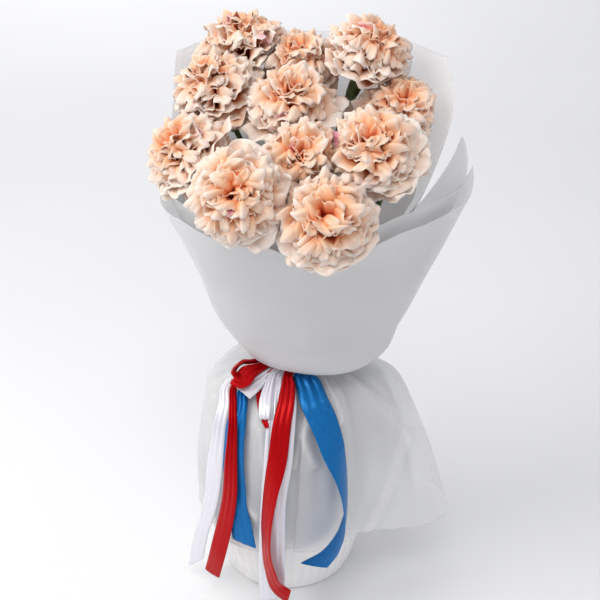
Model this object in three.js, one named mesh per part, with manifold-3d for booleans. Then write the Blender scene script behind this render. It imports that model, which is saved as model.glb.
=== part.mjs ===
// A wrapped bunch of carnations standing in a fluted vase.
//
// Eleven cream and peach blooms on green stems are gathered at a waist, wrapped in two full-length sheets of
// translucent film and a turned-up film collar, and tied there with red, white and blue satin ribbons. The stems
// stand in water in a white vase, and the film flares below the tie as a skirt that hangs down round the vase.
//
// Millimetres. The origin is the centre of the vase's foot, on the surface it stands on. +Z is up, +X is to the
// right and -Y is towards the viewer. Azimuths are in degrees from +X towards +Y, so the back of the bunch is 90.

import * as THREE from 'three';
import { mergeVertices } from 'three/addons/utils/BufferGeometryUtils.js';
import Module from 'manifold-3d';

const wasm = await Module();
wasm.setup();

// ---------------------------------------------------------------- driving dimensions

const CLEARANCE = 0.3; // gap between neighbouring solids

// The vase: a barrel with a flat foot and an open mouth.
const VASE = {
  footRadius: 60,
  lowRadius: 73,
  bellyRadius: 77,
  mouthRadius: 68,
  height: 190,
  wall: 5,
  floor: 8,
  flutes: 44,
  fluteDepth: 1.5,
};
const WATER_LEVEL = 110;

// The tie, where stems, film and ribbons are gathered.
const TIE = { x: 12, y: 0, low: 226, high: 246 };

// The stems and the calyx at the top of each.
const STEM_RADIUS = 2.3;
const STEM_SIDES = 6;
const JOINT_AT = 0.57; // where the swollen joint is, as a share of the run from the tie to the calyx
const JOINT_SWELL = 1.45;
const CALYX = { length: 25, neck: 3.2, waist: 5.2, mouth: 6.4 };
const INNER_SLOT = 3.8; // distance of the three middle stems from the tie's axis
const OUTER_SLOT = 10.3; // distance of the eight outer stems
const FOOT_SPREAD = 3.6; // how much wider the stems stand at their feet
const FOOT_AXIS_X = 4;
const STEM_HANDLES = { tie: 0.3, neck: 0.28 }; // how straight a stem leaves the tie and meets its calyx
const STEM_STOPS = [0, 0.25, 0.5, JOINT_AT, 0.64, 0.84]; // where its curve is cut into straight lengths
const LEAF = { length: 28, width: 6, thickness: 0.9, lean: 18 };

// The blooms: centre, radius, the way each faces, and its place in the tie.
const FLOWERS = [
  { centre: [-35, 62, 478], radius: 37, facing: [-0.25, 0.0, 0.96], slot: 'outer', place: 2 },
  { centre: [11, 46, 466], radius: 34, facing: [-0.05, -0.3, 0.95], slot: 'inner', place: 0 },
  { centre: [68, 40, 477], radius: 38, facing: [0.35, -0.1, 0.93], slot: 'outer', place: 1 },
  { centre: [-57, 20, 455], radius: 36, facing: [-0.35, -0.25, 0.9], slot: 'outer', place: 3 },
  { centre: [5, -5, 451], radius: 36, facing: [0, -0.4, 0.92], slot: 'inner', place: 1 },
  { centre: [92, 15, 436], radius: 37, facing: [0.1, -0.5, 0.86], slot: 'outer', place: 0 },
  { centre: [-78, -30, 419], radius: 35, facing: [-0.5, -0.35, 0.79], slot: 'outer', place: 4 },
  { centre: [14, -55, 422], radius: 35, facing: [0, -0.6, 0.8], slot: 'inner', place: 2 },
  { centre: [66, -60, 432], radius: 37, facing: [-0.2, -0.5, 0.84], slot: 'outer', place: 7 },
  { centre: [-34, -95, 411], radius: 37, facing: [-0.15, -0.82, 0.55], slot: 'outer', place: 5 },
  { centre: [30, -105, 396], radius: 37, facing: [0.02, -0.7, 0.71], slot: 'outer', place: 6 },
];
const HEAD_BASE = 0.55; // depth of a head's flat base below its centre, in radii
const PETAL_ORIGIN = 0.38; // depth of the point that the petals fan out from, in radii
const PETAL_THICKNESS = 0.9;

// Petals in their layers, from the guard petals at the base to the crest. Lengths are in head radii.
const PETAL_LAYERS = [
  { count: 5, rise: 2, halfWidth: 42, length: 1.0, turn: 0 },
  { count: 4, rise: 28, halfWidth: 53, length: 1.08, turn: 36 },
  { count: 3, rise: 54, halfWidth: 68, length: 1.2, turn: 15 },
  { count: 2, rise: 78, halfWidth: 80, length: 1.26, turn: 60 },
];
const PETAL_TILT = 5; // degrees that one side of a petal lies above its neighbour
const PETAL_WAVE = 5; // degrees that the waved margin swings
const PETAL_CURL = 6; // degrees that a level petal's tip hangs
const PETAL_NOTCH = 0.96; // depth of the margin's notches, as a share of the petal's length
const PETAL_ROUNDING = 0.1; // how much shorter a petal is at its two sides
const PETAL_ROWS = [
  { reach: 0.24, width: 0.45, points: 2, wave: 0 },
  { reach: 0.68, width: 0.82, points: 3, wave: 0.3 },
  { reach: 1, width: 1, points: 5, wave: 1 },
];
const CORE_OUTLINE = [[0, -HEAD_BASE], [0.2, -HEAD_BASE], [0.42, -0.28], [0.4, 0.1], [0, 0.4]];
const CORE_SIDES = 7;
const BLOOM_TURN = 47; // degrees that each head is turned from the one before

// Film sheets.
const FILM_THICKNESS = 0.6;

// Ribbons.
const RIBBON_THICKNESS = 0.6;

// ---------------------------------------------------------------- vectors and shared formulas

const vec = (x, y, z) => new THREE.Vector3(x, y, z);
const radians = THREE.MathUtils.degToRad;
const lerp = THREE.MathUtils.lerp;

/** A value read from a list of [position, value] stops, straight between them and level past the ends. */
function ramp(stops, position) {
  if (position <= stops[0][0]) return stops[0][1];
  for (let i = 1; i < stops.length; i += 1) {
    const [end, value] = stops[i];
    if (position <= end) {
      const [start, before] = stops[i - 1];
      return lerp(before, value, (position - start) / (end - start));
    }
  }
  return stops[stops.length - 1][1];
}

/** A smooth bump of height 1 at the centre azimuth, falling to 0 at halfWidth degrees either side. */
function bump(azimuth, centre, halfWidth) {
  const away = Math.abs(((azimuth - centre + 540) % 360) - 180) / halfWidth;
  return away >= 1 ? 0 : 0.5 + 0.5 * Math.cos(Math.PI * away);
}

// ---------------------------------------------------------------- solids

/** A closed solid for joining and cutting, from points and triangles that face out. */
function solidFrom(points, triangles) {
  const vertProperties = new Float32Array(points.flatMap((p) => [p.x, p.y, p.z]));
  const triVerts = new Uint32Array(triangles.flat());
  const mesh = new wasm.Mesh({ numProp: 3, vertProperties, triVerts });
  return new wasm.Manifold(mesh);
}

/** The same, from a closed three.js geometry. */
function solidFromGeometry(geometry) {
  const bare = geometry.clone();
  bare.deleteAttribute('normal');
  bare.deleteAttribute('uv');
  const merged = mergeVertices(bare, 1e-3);
  const vertProperties = new Float32Array(merged.attributes.position.array);
  const index = merged.index.array;
  const kept = [];
  for (let i = 0; i < index.length; i += 3) {
    const [a, b, c] = [index[i], index[i + 1], index[i + 2]];
    if (a !== b && b !== c && c !== a) kept.push(a, b, c);
  }
  const triVerts = new Uint32Array(kept);
  return new wasm.Manifold(new wasm.Mesh({ numProp: 3, vertProperties, triVerts }));
}

/** A named three.js mesh from a finished solid. */
function meshFrom(name, solid, material) {
  const { vertProperties, triVerts } = solid.getMesh();
  const geometry = new THREE.BufferGeometry();
  geometry.setAttribute('position', new THREE.BufferAttribute(new Float32Array(vertProperties), 3));
  geometry.setIndex(new THREE.BufferAttribute(new Uint32Array(triVerts), 1));
  geometry.computeVertexNormals();
  const mesh = new THREE.Mesh(geometry, material);
  mesh.name = name;
  return mesh;
}

/** Vertex normals of an open surface: each is the sum of its triangles' normals. */
function surfaceNormals(points, triangles) {
  const normals = points.map(() => vec(0, 0, 0));
  for (const [a, b, c] of triangles) {
    const first = points[b].clone().sub(points[a]);
    const second = points[c].clone().sub(points[a]);
    const normal = first.cross(second);
    normals[a].add(normal);
    normals[b].add(normal);
    normals[c].add(normal);
  }
  return normals.map((normal) => normal.normalize());
}

/** Gives an open surface its thickness: two like faces either side of it, joined round the margin. */
function thicken(points, triangles, thickness) {
  const normals = surfaceNormals(points, triangles);
  const count = points.length;
  const front = points.map((p, i) => p.clone().addScaledVector(normals[i], thickness / 2));
  const back = points.map((p, i) => p.clone().addScaledVector(normals[i], -thickness / 2));
  const edges = new Set(triangles.flatMap(([a, b, c]) => [`${a},${b}`, `${b},${c}`, `${c},${a}`]));
  const closed = [];
  for (const [a, b, c] of triangles) {
    closed.push([a, b, c], [count + a, count + c, count + b]);
    for (const [start, end] of [[a, b], [b, c], [c, a]]) {
      if (!edges.has(`${end},${start}`)) {
        closed.push([end, start, count + start], [end, count + start, count + end]);
      }
    }
  }
  return solidFrom([...front, ...back], closed);
}

/** Triangles between two rows of points with any number of points in each, both running the same way. */
function stitchRows(firstStart, firstCount, secondStart, secondCount) {
  const triangles = [];
  let i = 0;
  let j = 0;
  while (i < firstCount - 1 || j < secondCount - 1) {
    const nextFirst = (i + 0.5) / (firstCount - 1 || 0.5);
    const nextSecond = (j + 0.5) / (secondCount - 1 || 0.5);
    if (j < secondCount - 1 && (i >= firstCount - 1 || nextSecond <= nextFirst)) {
      triangles.push([firstStart + i, secondStart + j, secondStart + j + 1]);
      j += 1;
    } else {
      triangles.push([firstStart + i, secondStart + j, firstStart + i + 1]);
      i += 1;
    }
  }
  return triangles;
}

/** A thin solid through rows of points; a row may hold fewer points than the next. */
function bladeSolid(rows, thickness) {
  const points = rows.flat();
  const triangles = [];
  let start = 0;
  for (let r = 0; r + 1 < rows.length; r += 1) {
    const next = start + rows[r].length;
    triangles.push(...stitchRows(start, rows[r].length, next, rows[r + 1].length));
    start = next;
  }
  return thicken(points, triangles, thickness);
}

/** A solid swept through a list of centres, with a radius and a number of sides at each. */
function sweepSolid(centres, radii, sides) {
  const points = [];
  const triangles = [];
  let side = vec(1, 0, 0);
  centres.forEach((centre, i) => {
    const before = centres[Math.max(i - 1, 0)];
    const after = centres[Math.min(i + 1, centres.length - 1)];
    const along = after.clone().sub(before).normalize();
    side = side.clone().addScaledVector(along, -side.dot(along)).normalize();
    const across = along.clone().cross(side);
    for (let k = 0; k < sides; k += 1) {
      const angle = (2 * Math.PI * k) / sides;
      const point = centre.clone();
      point.addScaledVector(side, radii[i] * Math.cos(angle));
      point.addScaledVector(across, radii[i] * Math.sin(angle));
      points.push(point);
    }
  });
  for (let i = 0; i + 1 < centres.length; i += 1) {
    for (let k = 0; k < sides; k += 1) {
      const a = i * sides + k;
      const b = i * sides + ((k + 1) % sides);
      triangles.push([a, b, b + sides], [a, b + sides, a + sides]);
    }
  }
  const last = (centres.length - 1) * sides;
  for (let k = 1; k + 1 < sides; k += 1) {
    triangles.push([0, k + 1, k], [last, last + k, last + k + 1]);
  }
  return solidFrom(points, triangles);
}

// ---------------------------------------------------------------- vase and water

const VASE_PROFILE = [
  [0, VASE.footRadius],
  [14, VASE.footRadius + 4],
  [60, VASE.lowRadius],
  [120, VASE.bellyRadius],
  [VASE.height, VASE.mouthRadius],
];

/** The radius of the vase's hollow at a height. */
const hollowRadius = (height) => ramp(VASE_PROFILE, height) - VASE.wall - VASE.fluteDepth;

/** The vase: a lathed barrel whose wall is raised in upright flutes, hollowed from the mouth down. */
function makeVase() {
  const outline = [new THREE.Vector2(0, 0)];
  for (const [height, radius] of VASE_PROFILE) outline.push(new THREE.Vector2(radius, height));
  outline.push(new THREE.Vector2(0, VASE.height));
  const barrel = new THREE.LatheGeometry(outline, VASE.flutes * 2);
  const position = barrel.attributes.position;
  for (let i = 0; i < position.count; i += 1) {
    const [x, height, z] = [position.getX(i), position.getY(i), position.getZ(i)];
    const radius = Math.hypot(x, z);
    if (radius < 1) continue;
    const column = Math.round((Math.atan2(x, z) / Math.PI) * VASE.flutes);
    const depth = column % 2 === 0 ? 0 : VASE.fluteDepth;
    const scale = (radius - depth) / radius;
    position.setXYZ(i, x * scale, height, z * scale);
  }
  barrel.rotateX(Math.PI / 2);
  const above = VASE.height + 1;
  const hollow = [new THREE.Vector2(0, VASE.floor)];
  for (const height of [VASE.floor, 60, WATER_LEVEL, above]) {
    hollow.push(new THREE.Vector2(hollowRadius(height), height));
  }
  hollow.push(new THREE.Vector2(0, above));
  const space = new THREE.LatheGeometry(hollow, 24);
  space.rotateX(Math.PI / 2);
  return solidFromGeometry(barrel).subtract(solidFromGeometry(space));
}

/** The water: it fills the vase to its level, with a plain hole round each stem. */
function makeWater(stemLines) {
  const bottom = VASE.floor + CLEARANCE;
  const outline = [new THREE.Vector2(0, bottom)];
  for (const height of [bottom, 60, WATER_LEVEL]) {
    outline.push(new THREE.Vector2(hollowRadius(height) - CLEARANCE, height));
  }
  outline.push(new THREE.Vector2(0, WATER_LEVEL));
  const body = new THREE.LatheGeometry(outline, 24);
  body.rotateX(Math.PI / 2);
  let water = solidFromGeometry(body);
  const holeRadius = STEM_RADIUS * JOINT_SWELL + CLEARANCE;
  for (const [foot, tie] of stemLines) {
    const below = foot.clone().lerp(tie, -0.1);
    water = water.subtract(sweepSolid([below, tie], [holeRadius, holeRadius], STEM_SIDES));
  }
  return water;
}

// ---------------------------------------------------------------- stems

/** Where a flower's stem passes through the tie, as an offset from the tie's axis. */
function tieOffset(flower) {
  const inner = flower.slot === 'inner';
  const azimuth = radians(inner ? 90 + 120 * flower.place : 13 + 45 * flower.place);
  const distance = inner ? INNER_SLOT : OUTER_SLOT;
  return vec(distance * Math.cos(azimuth), distance * Math.sin(azimuth), 0);
}

/** The straight lower run of a stem: its foot on the vase's floor, and where it enters the tie. */
function stemLine(flower) {
  const offset = tieOffset(flower);
  const foot = vec(FOOT_AXIS_X, 0, VASE.floor + CLEARANCE * 2).addScaledVector(offset, FOOT_SPREAD);
  const tie = vec(TIE.x, TIE.y, TIE.low).add(offset);
  return [foot, tie];
}

/** A narrow pointed leaf that rises from a joint of the stem. */
function makeLeaf(root, along, outward) {
  const lean = radians(LEAF.lean);
  const direction = along.clone().multiplyScalar(Math.cos(lean)).addScaledVector(outward, Math.sin(lean));
  const across = along.clone().cross(outward).normalize();
  const at = (share, side, bow) => root.clone()
    .addScaledVector(direction, LEAF.length * share)
    .addScaledVector(outward, bow)
    .addScaledVector(across, (side * LEAF.width) / 2);
  const rows = [
    [at(0, -0.5, 0), at(0, 0.5, 0)],
    [at(0.45, -1, -0.5), at(0.45, 0, -1.6), at(0.45, 1, -0.5)],
    [at(1, 0, 3)],
  ];
  return bladeSolid(rows, LEAF.thickness);
}

/** A stem with its swollen joints, its calyx and a pair of leaves, from its foot to the head's base. */
function makeStem(flower) {
  const facing = vec(...flower.facing).normalize();
  const mouth = vec(...flower.centre).addScaledVector(facing, -HEAD_BASE * flower.radius - CLEARANCE);
  const neck = mouth.clone().addScaledVector(facing, -CALYX.length);
  const [foot, tie] = stemLine(flower);
  const aboveTie = tie.clone().setZ(TIE.high);
  const rise = neck.z - aboveTie.z;
  const curve = new THREE.CubicBezierCurve3(
    aboveTie,
    aboveTie.clone().add(vec(0, 0, rise * STEM_HANDLES.tie)),
    neck.clone().addScaledVector(facing, -rise * STEM_HANDLES.neck),
    neck,
  );
  const centres = [foot, tie];
  const radii = [STEM_RADIUS, STEM_RADIUS];
  for (const share of STEM_STOPS) {
    centres.push(curve.getPoint(share));
    radii.push(share === JOINT_AT ? STEM_RADIUS * JOINT_SWELL : STEM_RADIUS);
  }
  centres.push(neck, neck.clone().lerp(mouth, 0.25), mouth);
  radii.push(CALYX.neck, CALYX.waist, CALYX.mouth);
  let stem = sweepSolid(centres, radii, STEM_SIDES);
  const root = curve.getPoint(JOINT_AT);
  const along = curve.getTangent(JOINT_AT);
  const outward = vec(-root.y, root.x - TIE.x, 0).normalize();
  outward.addScaledVector(along, -outward.dot(along)).normalize();
  for (const side of [1, -1]) {
    stem = stem.add(makeLeaf(root, along, outward.clone().multiplyScalar(side)));
  }
  return stem;
}

// ---------------------------------------------------------------- blooms

/** How far a head may reach in a direction before it would cross into a neighbour. */
function reach(flower, direction) {
  let limit = flower.radius;
  for (const other of FLOWERS) {
    if (other === flower) continue;
    const between = vec(...other.centre).sub(vec(...flower.centre));
    const distance = between.length();
    const share = (distance ** 2 + flower.radius ** 2 - other.radius ** 2) / (2 * distance);
    const wall = share - CLEARANCE;
    const along = direction.dot(between) / distance;
    if (along > 0) limit = Math.min(limit, wall / along);
  }
  return limit;
}

/** Presses a point of a head back towards its centre where the neighbouring heads press on it. */
function squeeze(flower, point) {
  const centre = vec(...flower.centre);
  const offset = point.clone().sub(centre);
  const distance = offset.length();
  if (distance < 1e-6) return point;
  const limit = reach(flower, offset.clone().divideScalar(distance));
  return insideWrap(centre.addScaledVector(offset, Math.min(1, limit / Math.max(flower.radius, distance))));
}

/** Presses a point in from the sheets of film that stand behind the blooms. */
function insideWrap(point) {
  const fromAxis = vec(point.x - wrapAxisX(point.z), point.y - TIE.y, 0);
  const azimuth = THREE.MathUtils.radToDeg(Math.atan2(fromAxis.y, fromAxis.x));
  const wall = ramp(WRAP_RADIUS, point.z) - WRAP_PRESS;
  if (azimuth < -30 || fromAxis.length() <= wall) return point;
  fromAxis.setLength(wall);
  return vec(wrapAxisX(point.z) + fromAxis.x, TIE.y + fromAxis.y, point.z);
}

/** One petal: a fan on a cone round the head's axis, tilted over its neighbour, with a waved, notched margin. */
function makePetal(place, flower, layer, azimuth, phase) {
  const points = PETAL_ROWS.map((row) => Array.from({ length: row.points }, (_, k) => {
    const across = (2 * k) / (row.points - 1) - 1;
    const swing = PETAL_WAVE * row.wave * Math.sin(Math.PI * (k + phase) - across * 0.6);
    const curl = -PETAL_CURL * row.reach ** 2 * Math.cos(radians(layer.rise));
    const rise = radians(layer.rise + PETAL_TILT * across * row.reach + swing + curl);
    const turn = radians(azimuth + layer.halfWidth * row.width * across);
    const notch = row.wave === 1 && k % 2 === 0 ? PETAL_NOTCH : 1;
    const rounded = 1 - PETAL_ROUNDING * across ** 2 * row.wave;
    const length = flower.radius * layer.length * row.reach * rounded * notch;
    const local = vec(
      length * Math.cos(rise) * Math.cos(turn),
      length * Math.cos(rise) * Math.sin(turn),
      length * Math.sin(rise) - PETAL_ORIGIN * flower.radius,
    );
    return place(local);
  }));
  return bladeSolid(points, PETAL_THICKNESS);
}

/** A bloom: a small domed core with the petals standing out of it in their layers. */
function makeBloom(flower, index) {
  const facing = vec(...flower.facing).normalize();
  const turn = new THREE.Quaternion().setFromUnitVectors(vec(0, 0, 1), facing);
  const centre = vec(...flower.centre);
  const place = (local) => squeeze(flower, local.clone().applyQuaternion(turn).add(centre));
  const r = flower.radius;
  const outline = CORE_OUTLINE.map(([x, y]) => new THREE.Vector2(x * r, y * r));
  const core = new THREE.LatheGeometry(outline, CORE_SIDES);
  core.rotateX(Math.PI / 2);
  const position = core.attributes.position;
  for (let i = 0; i < position.count; i += 1) {
    const local = vec(position.getX(i), position.getY(i), position.getZ(i));
    const moved = local.z < -HEAD_BASE * r + 0.1 ? local.applyQuaternion(turn).add(centre) : place(local);
    position.setXYZ(i, moved.x, moved.y, moved.z);
  }
  let head = solidFromGeometry(core);
  PETAL_LAYERS.forEach((layer, level) => {
    for (let k = 0; k < layer.count; k += 1) {
      const azimuth = layer.turn + index * BLOOM_TURN + (360 * k) / layer.count;
      head = head.add(makePetal(place, flower, layer, azimuth, (k + level) % 2));
    }
  });
  return head;
}

// ---------------------------------------------------------------- film

// The full-length sheets: their radius and the depth of their pleats by height, from hem to top.
const WRAP_RADIUS = [
  [64, 85],
  [110, 86],
  [188, 77],
  [204, 64],
  [216, 41],
  [TIE.low, 15],
  [TIE.high, 15],
  [290, 46],
  [330, 70],
  [380, 97],
  [430, 111],
  [473, 121],
];
const WRAP_PLEATS = [[64, 2], [188, 1.5], [TIE.low, 0], [TIE.high, 0], [290, 2], [430, 4]];
const PLEATS_ROUND = 6;
const INSET_GROWTH = [[TIE.high, 1], [370, 1.4]]; // how the gap between the two sheets widens up the fan
const GATHER_STEP = 0.4; // how much lower the inner sheet's gather starts, for each millimetre of its inset
const WRAP_PRESS = 11; // how far inside the sheets' mean radius the blooms keep

// The free corner of the skirt, to the right: how far it stands out by height, and how far its hem drops.
const FLAP_AZIMUTH = 10;
const FLAP_HALF_WIDTH = 55;
const FLAP_REACH = [[64, 70], [150, 38], [188, 24], [212, 0]];
const FLAP_DROP = 50;

/** The axis of the wrapped bunch: the vase's below its mouth, and leaning a little to the right above the tie. */
const wrapAxisX = (height) => ramp([[190, 0], [TIE.low, TIE.x], [TIE.high, TIE.x], [475, 16]], height);

/** A full-length sheet of film: a fan of folds above the tie, a waist, and a skirt round the vase. */
function makeWrap({ inset, waist, top, leftEdge, rightEdge, flap, columns }) {
  const heights = [...WRAP_RADIUS.slice(0, -1).map(([height]) => height), top];
  const gatherDrop = (height) => (height === TIE.low ? inset * GATHER_STEP : 0);
  const rows = heights.map((height) => Array.from({ length: columns + 1 }, (_, c) => {
    const azimuth = lerp(ramp(leftEdge, height), ramp(rightEdge, height), c / columns);
    const gathered = height >= TIE.low && height <= TIE.high;
    const fold = ramp(WRAP_PLEATS, height) * Math.cos(radians(azimuth * PLEATS_ROUND));
    const corner = flap * bump(azimuth, FLAP_AZIMUTH, FLAP_HALF_WIDTH);
    const hung = ramp(WRAP_RADIUS, height) - inset * ramp(INSET_GROWTH, height);
    const out = gathered ? waist : hung + fold + corner * ramp(FLAP_REACH, height);
    const below = Math.max(0, (TIE.low - height) / TIE.low);
    const x = wrapAxisX(height) + out * Math.cos(radians(azimuth));
    const z = height - corner * FLAP_DROP * below ** 2 - gatherDrop(height);
    return vec(x, TIE.y + out * Math.sin(radians(azimuth)), z);
  }));
  return bladeSolid(rows, FILM_THICKNESS);
}

// The collar: a sheet folded double, gathered under the ribbons with its fold down, turned over them and up
// into a bowl. Each stop of its profile is an ellipse: height, axis x, half-width, half-depths front and back.
const COLLAR_PROFILE = [
  [TIE.low + 1, TIE.x, null],
  [TIE.high - 3, TIE.x, null],
  [250, 18, 36, 30, 30],
  [238, 22, 49, 42, 42],
  [230, 26, 56, 51, 51],
  [257, 21, 76, 62, 62],
  [315, 22, 100, 80, 88],
  [376, 22, 126, 101, 115],
];
const COLLAR_TURN = 4; // the stop where the collar turns up
const COLLAR_GAP = 20; // degrees between the collar's ends, at the back
const COLLAR_FOLDS = { round: 5, low: 1, growth: 2.5 };
const COLLAR_LAYERS = {
  outer: { inward: 0, gather: 17.6, rise: 0 },
  inner: { inward: 2.4, gather: 16.3, rise: 11 },
};
const COLLAR_PULL = { low: 0.3, growth: 2 }; // how far apart the layers are at the turn, and how they part
// Where the rim dips under a drooping bloom or stands higher: azimuth, half-width in degrees, and depth.
const RIM_DIPS = [[270, 34, 17], [236, 20, 8], [12, 26, -26]];

/** How far the collar's rim dips at an azimuth. */
function rimDip(azimuth) {
  const dips = RIM_DIPS.map(([centre, halfWidth, depth]) => depth * bump(azimuth, centre, halfWidth));
  return dips.reduce((sum, dip) => sum + dip, 0);
}

/** One layer of the collar, from the gathers to the rim. */
function collarLayer({ inward, gather, rise }, columns) {
  return COLLAR_PROFILE.map(([height, axisX, halfWidth, front, back], r) => {
    const share = Math.max(0, r - COLLAR_TURN) / (COLLAR_PROFILE.length - 1 - COLLAR_TURN);
    return Array.from({ length: columns + 1 }, (_, c) => {
      const azimuth = lerp(90 + COLLAR_GAP / 2, 450 - COLLAR_GAP / 2, c / columns);
      const [cos, sin] = [Math.cos(radians(azimuth)), Math.sin(radians(azimuth))];
      if (halfWidth === null) return vec(axisX + gather * cos, TIE.y + gather * sin, height);
      const foldDepth = COLLAR_FOLDS.low + COLLAR_FOLDS.growth * share;
      const fold = foldDepth * Math.cos(radians(azimuth * COLLAR_FOLDS.round));
      const depth = sin > 0 ? back : front;
      const pull = inward * (COLLAR_PULL.low + COLLAR_PULL.growth * share);
      const x = axisX + (halfWidth - pull + fold) * cos;
      const y = TIE.y + (depth - pull + fold) * sin;
      const lift = r <= COLLAR_TURN ? inward : rise * share ** 2;
      return vec(x, y, height + lift - rimDip(azimuth) * share ** 3);
    });
  });
}

/** The collar: its inner layer from rim to gathers and its outer layer back up, folded over at the gathers. */
function makeCollar(columns) {
  const outer = collarLayer(COLLAR_LAYERS.outer, columns);
  const inner = collarLayer(COLLAR_LAYERS.inner, columns);
  return bladeSolid([...inner.reverse(), ...outer], FILM_THICKNESS);
}

// ---------------------------------------------------------------- ribbons

// Each ribbon goes once round the tie at its own height, is knotted at the front, and hangs in tails and loops.
// A stop of a tail is a point of its middle line, the width there, narrow where it is pinched or pleated, and the
// degrees by which it is turned out of the wrap's face. A stop of a loop is a point, the width there, and the
// direction that the width lies in.
const RIBBONS = {
  red: {
    ring: 240,
    knotX: 10,
    tails: [
      // left
      [[9, -23, 239, 7, 0], [-8, -29, 232, 7, 0], [-24, -33, 224, 7, 0], [-36, -38, 218, 7, 0],
        [-44, -43, 212.5, 7, 0], [-45, -58, 205, 7, 0], [-45, -70, 194, 8, 0], [-47, -80, 163, 12, 0],
        [-49, -84, 127, 15, 0], [-56, -83, 86, 16, -12], [-61, -81, 63, 16, -20], [-68, -74, 31, 16, -26]],
      // middle, the outermost
      [[12, -23, 239, 7, 0], [7, -33, 229.5, 7.5, 0], [1.5, -43, 224, 8, 0], [1.5, -53, 219.5, 12, 0],
        [0, -68, 211.5, 14, 0], [-3, -79, 200, 15, 0], [-7, -91, 171, 16, 0], [-14, -98, 138, 16, 30],
        [-18, -102, 102, 16, 46], [-18, -102, 82, 16, 54], [-15, -103, 61, 16, 52], [-8, -103, 40, 16, 48],
        [2, -103, 30, 14, 48]],
    ],
    loops: [
      // bow: out with its face up, and back on edge
      [[5, -26, 236, 7, 0.1, -0.5, -0.85], [-9, -28, 230.5, 5, 0.3, -0.6, -0.7],
        [-19, -33, 226.5, 7, 0.5, -0.75, -0.4], [-24, -37, 227, 10, 0.5, -0.75, -0.4],
        [-31, -44, 227.5, 15, 0.5, -0.75, -0.4], [-39, -51.5, 224, 16, 0.5, -0.75, -0.4]],
      [[-39, -51.5, 224, 16, 0.5, -0.75, -0.4], [-43.5, -50, 226, 12, 0.45, -0.6, -0.65],
        [-44, -45, 228, 8, 0.1, 0, -1], [-41, -38, 229.5, 7, -0.3, 0.5, -0.8],
        [-37, -32, 229.5, 5, -0.3, 0.5, -0.8], [-30.5, -26.5, 226.5, 4, -0.2, 0.4, -0.9],
        [-18, -22, 227.5, 4, 0, 0, -1], [2, -22, 237, 5, 0, 0, -1]],
    ],
  },
  white: {
    ring: 234,
    knotX: 12,
    tails: [
      // left
      [[8, -21, 233, 7, 0], [-10, -21, 227, 7, 0], [-26, -24, 221, 8, 0], [-42, -30, 214, 9, 0],
        [-52, -37, 207.5, 10, 0], [-53, -50, 199, 12.5, -5], [-56, -60, 187, 13.5, -8], [-61, -67, 153, 16, -12],
        [-66, -69, 115, 16, -15], [-71, -65, 91, 16, -18], [-78, -54, 60, 16, -24], [-83, -50, 35, 15, -26],
        [-87, -48, 14, 8, -26]],
      // two in the middle, behind the red one
      [[10, -21, 233, 7, 0], [3, -30, 226.5, 7, 0], [-6, -40, 220.5, 8, 0], [-8, -53, 215.5, 10, 0],
        [-9, -65, 209, 12, 0], [-10, -79, 192, 14, 0], [-11.5, -87.5, 157, 16, 0], [-14.5, -91.5, 118, 16, 0],
        [-17, -91.5, 60, 15, 0], [-17, -90, 14, 15, 0]],
      [[14, -21, 233, 7, 0], [11, -29, 230, 7, 0], [3, -41, 221.5, 6, 0], [4, -54, 216, 8, 0],
        [3, -66, 210, 12, 0], [0.5, -78, 197, 15, 0], [-2.5, -88.5, 168, 16, 0], [-7.5, -91.5, 132, 16, 0],
        [-9, -93.5, 80, 16, 0], [-9.5, -92.5, 29, 16, 0]],
    ],
    loops: [
      // bow, under the red one
      [[6, -24, 230, 7, 0.1, -0.5, -0.85], [-8, -33, 223.5, 8, 0.3, -0.6, -0.7],
        [-20, -43, 220, 12, 0.5, -0.75, -0.4], [-30, -52, 217.5, 16, 0.5, -0.75, -0.4],
        [-36, -58, 215, 16, 0.5, -0.75, -0.4]],
      // hanging loop, down and back
      [[8, -22, 233, 7, 1, 0, 0], [-3, -32, 227, 6, 1, 0, 0], [-11, -39, 223, 6, 1, 0, 0],
        [-13.5, -47, 219.5, 7, 1, 0, 0], [-15.5, -56, 216, 9, 1, 0, 0], [-17, -65, 212, 10, 1, 0, 0],
        [-17.5, -72, 207, 10, 1, 0, 0], [-17.5, -76, 201.5, 9, 1, 0, 0]],
      [[-17.5, -76, 201.5, 9, 1, 0, 0], [-17, -74, 201, 9, 1, 0, 0], [-17, -70, 205, 9, 1, 0, 0],
        [-15, -56, 213, 8, 1, 0, 0], [-11, -44, 218, 6, 1, 0, 0], [8, -23, 232, 7, 1, 0, 0]],
    ],
  },
  blue: {
    ring: 228.3,
    knotX: 14,
    tails: [
      // left, behind the red one
      [[10, -20, 228, 7, 0], [-6, -27, 221.5, 9, 0], [-20, -38, 216.5, 10, 0], [-38, -52, 209.5, 10.5, 0],
        [-38, -59, 204.5, 11, 0], [-42, -69, 193, 18, 0], [-44, -74, 177, 19, 0], [-45, -78, 158, 20, 0],
        [-44, -81, 133, 20, 0], [-43, -84, 112, 20, 0], [-40, -85.5, 97, 20, 0], [-37, -87, 77, 20, 0]],
      // right, which turns over as it falls
      [[17, -20, 228, 7, 0], [18, -31, 223.5, 13, 0], [16, -41, 222, 18, 0], [20, -51, 217, 22, 0],
        [25, -66, 209, 24.5, 0], [32, -74, 196, 25, 0], [35, -77, 189, 25, -3], [41, -83, 172, 25, -12],
        [47, -87, 154, 25, -32], [51, -90, 135, 25, -48], [52, -91, 126, 25, -53], [51, -94, 117, 25, -58],
        [50, -96, 105, 25, -70], [48, -96, 96, 25, -82], [44, -97, 85, 25, -98], [36, -99, 74, 25, -114],
        [25, -101, 68, 25, -126]],
    ],
    loops: [],
  },
};
const RING = { inner: 18.9, height: 4.4, sides: 12 };
const KNOT = { half: [6, 3.6, 2.7], forward: 3.2 };

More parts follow.
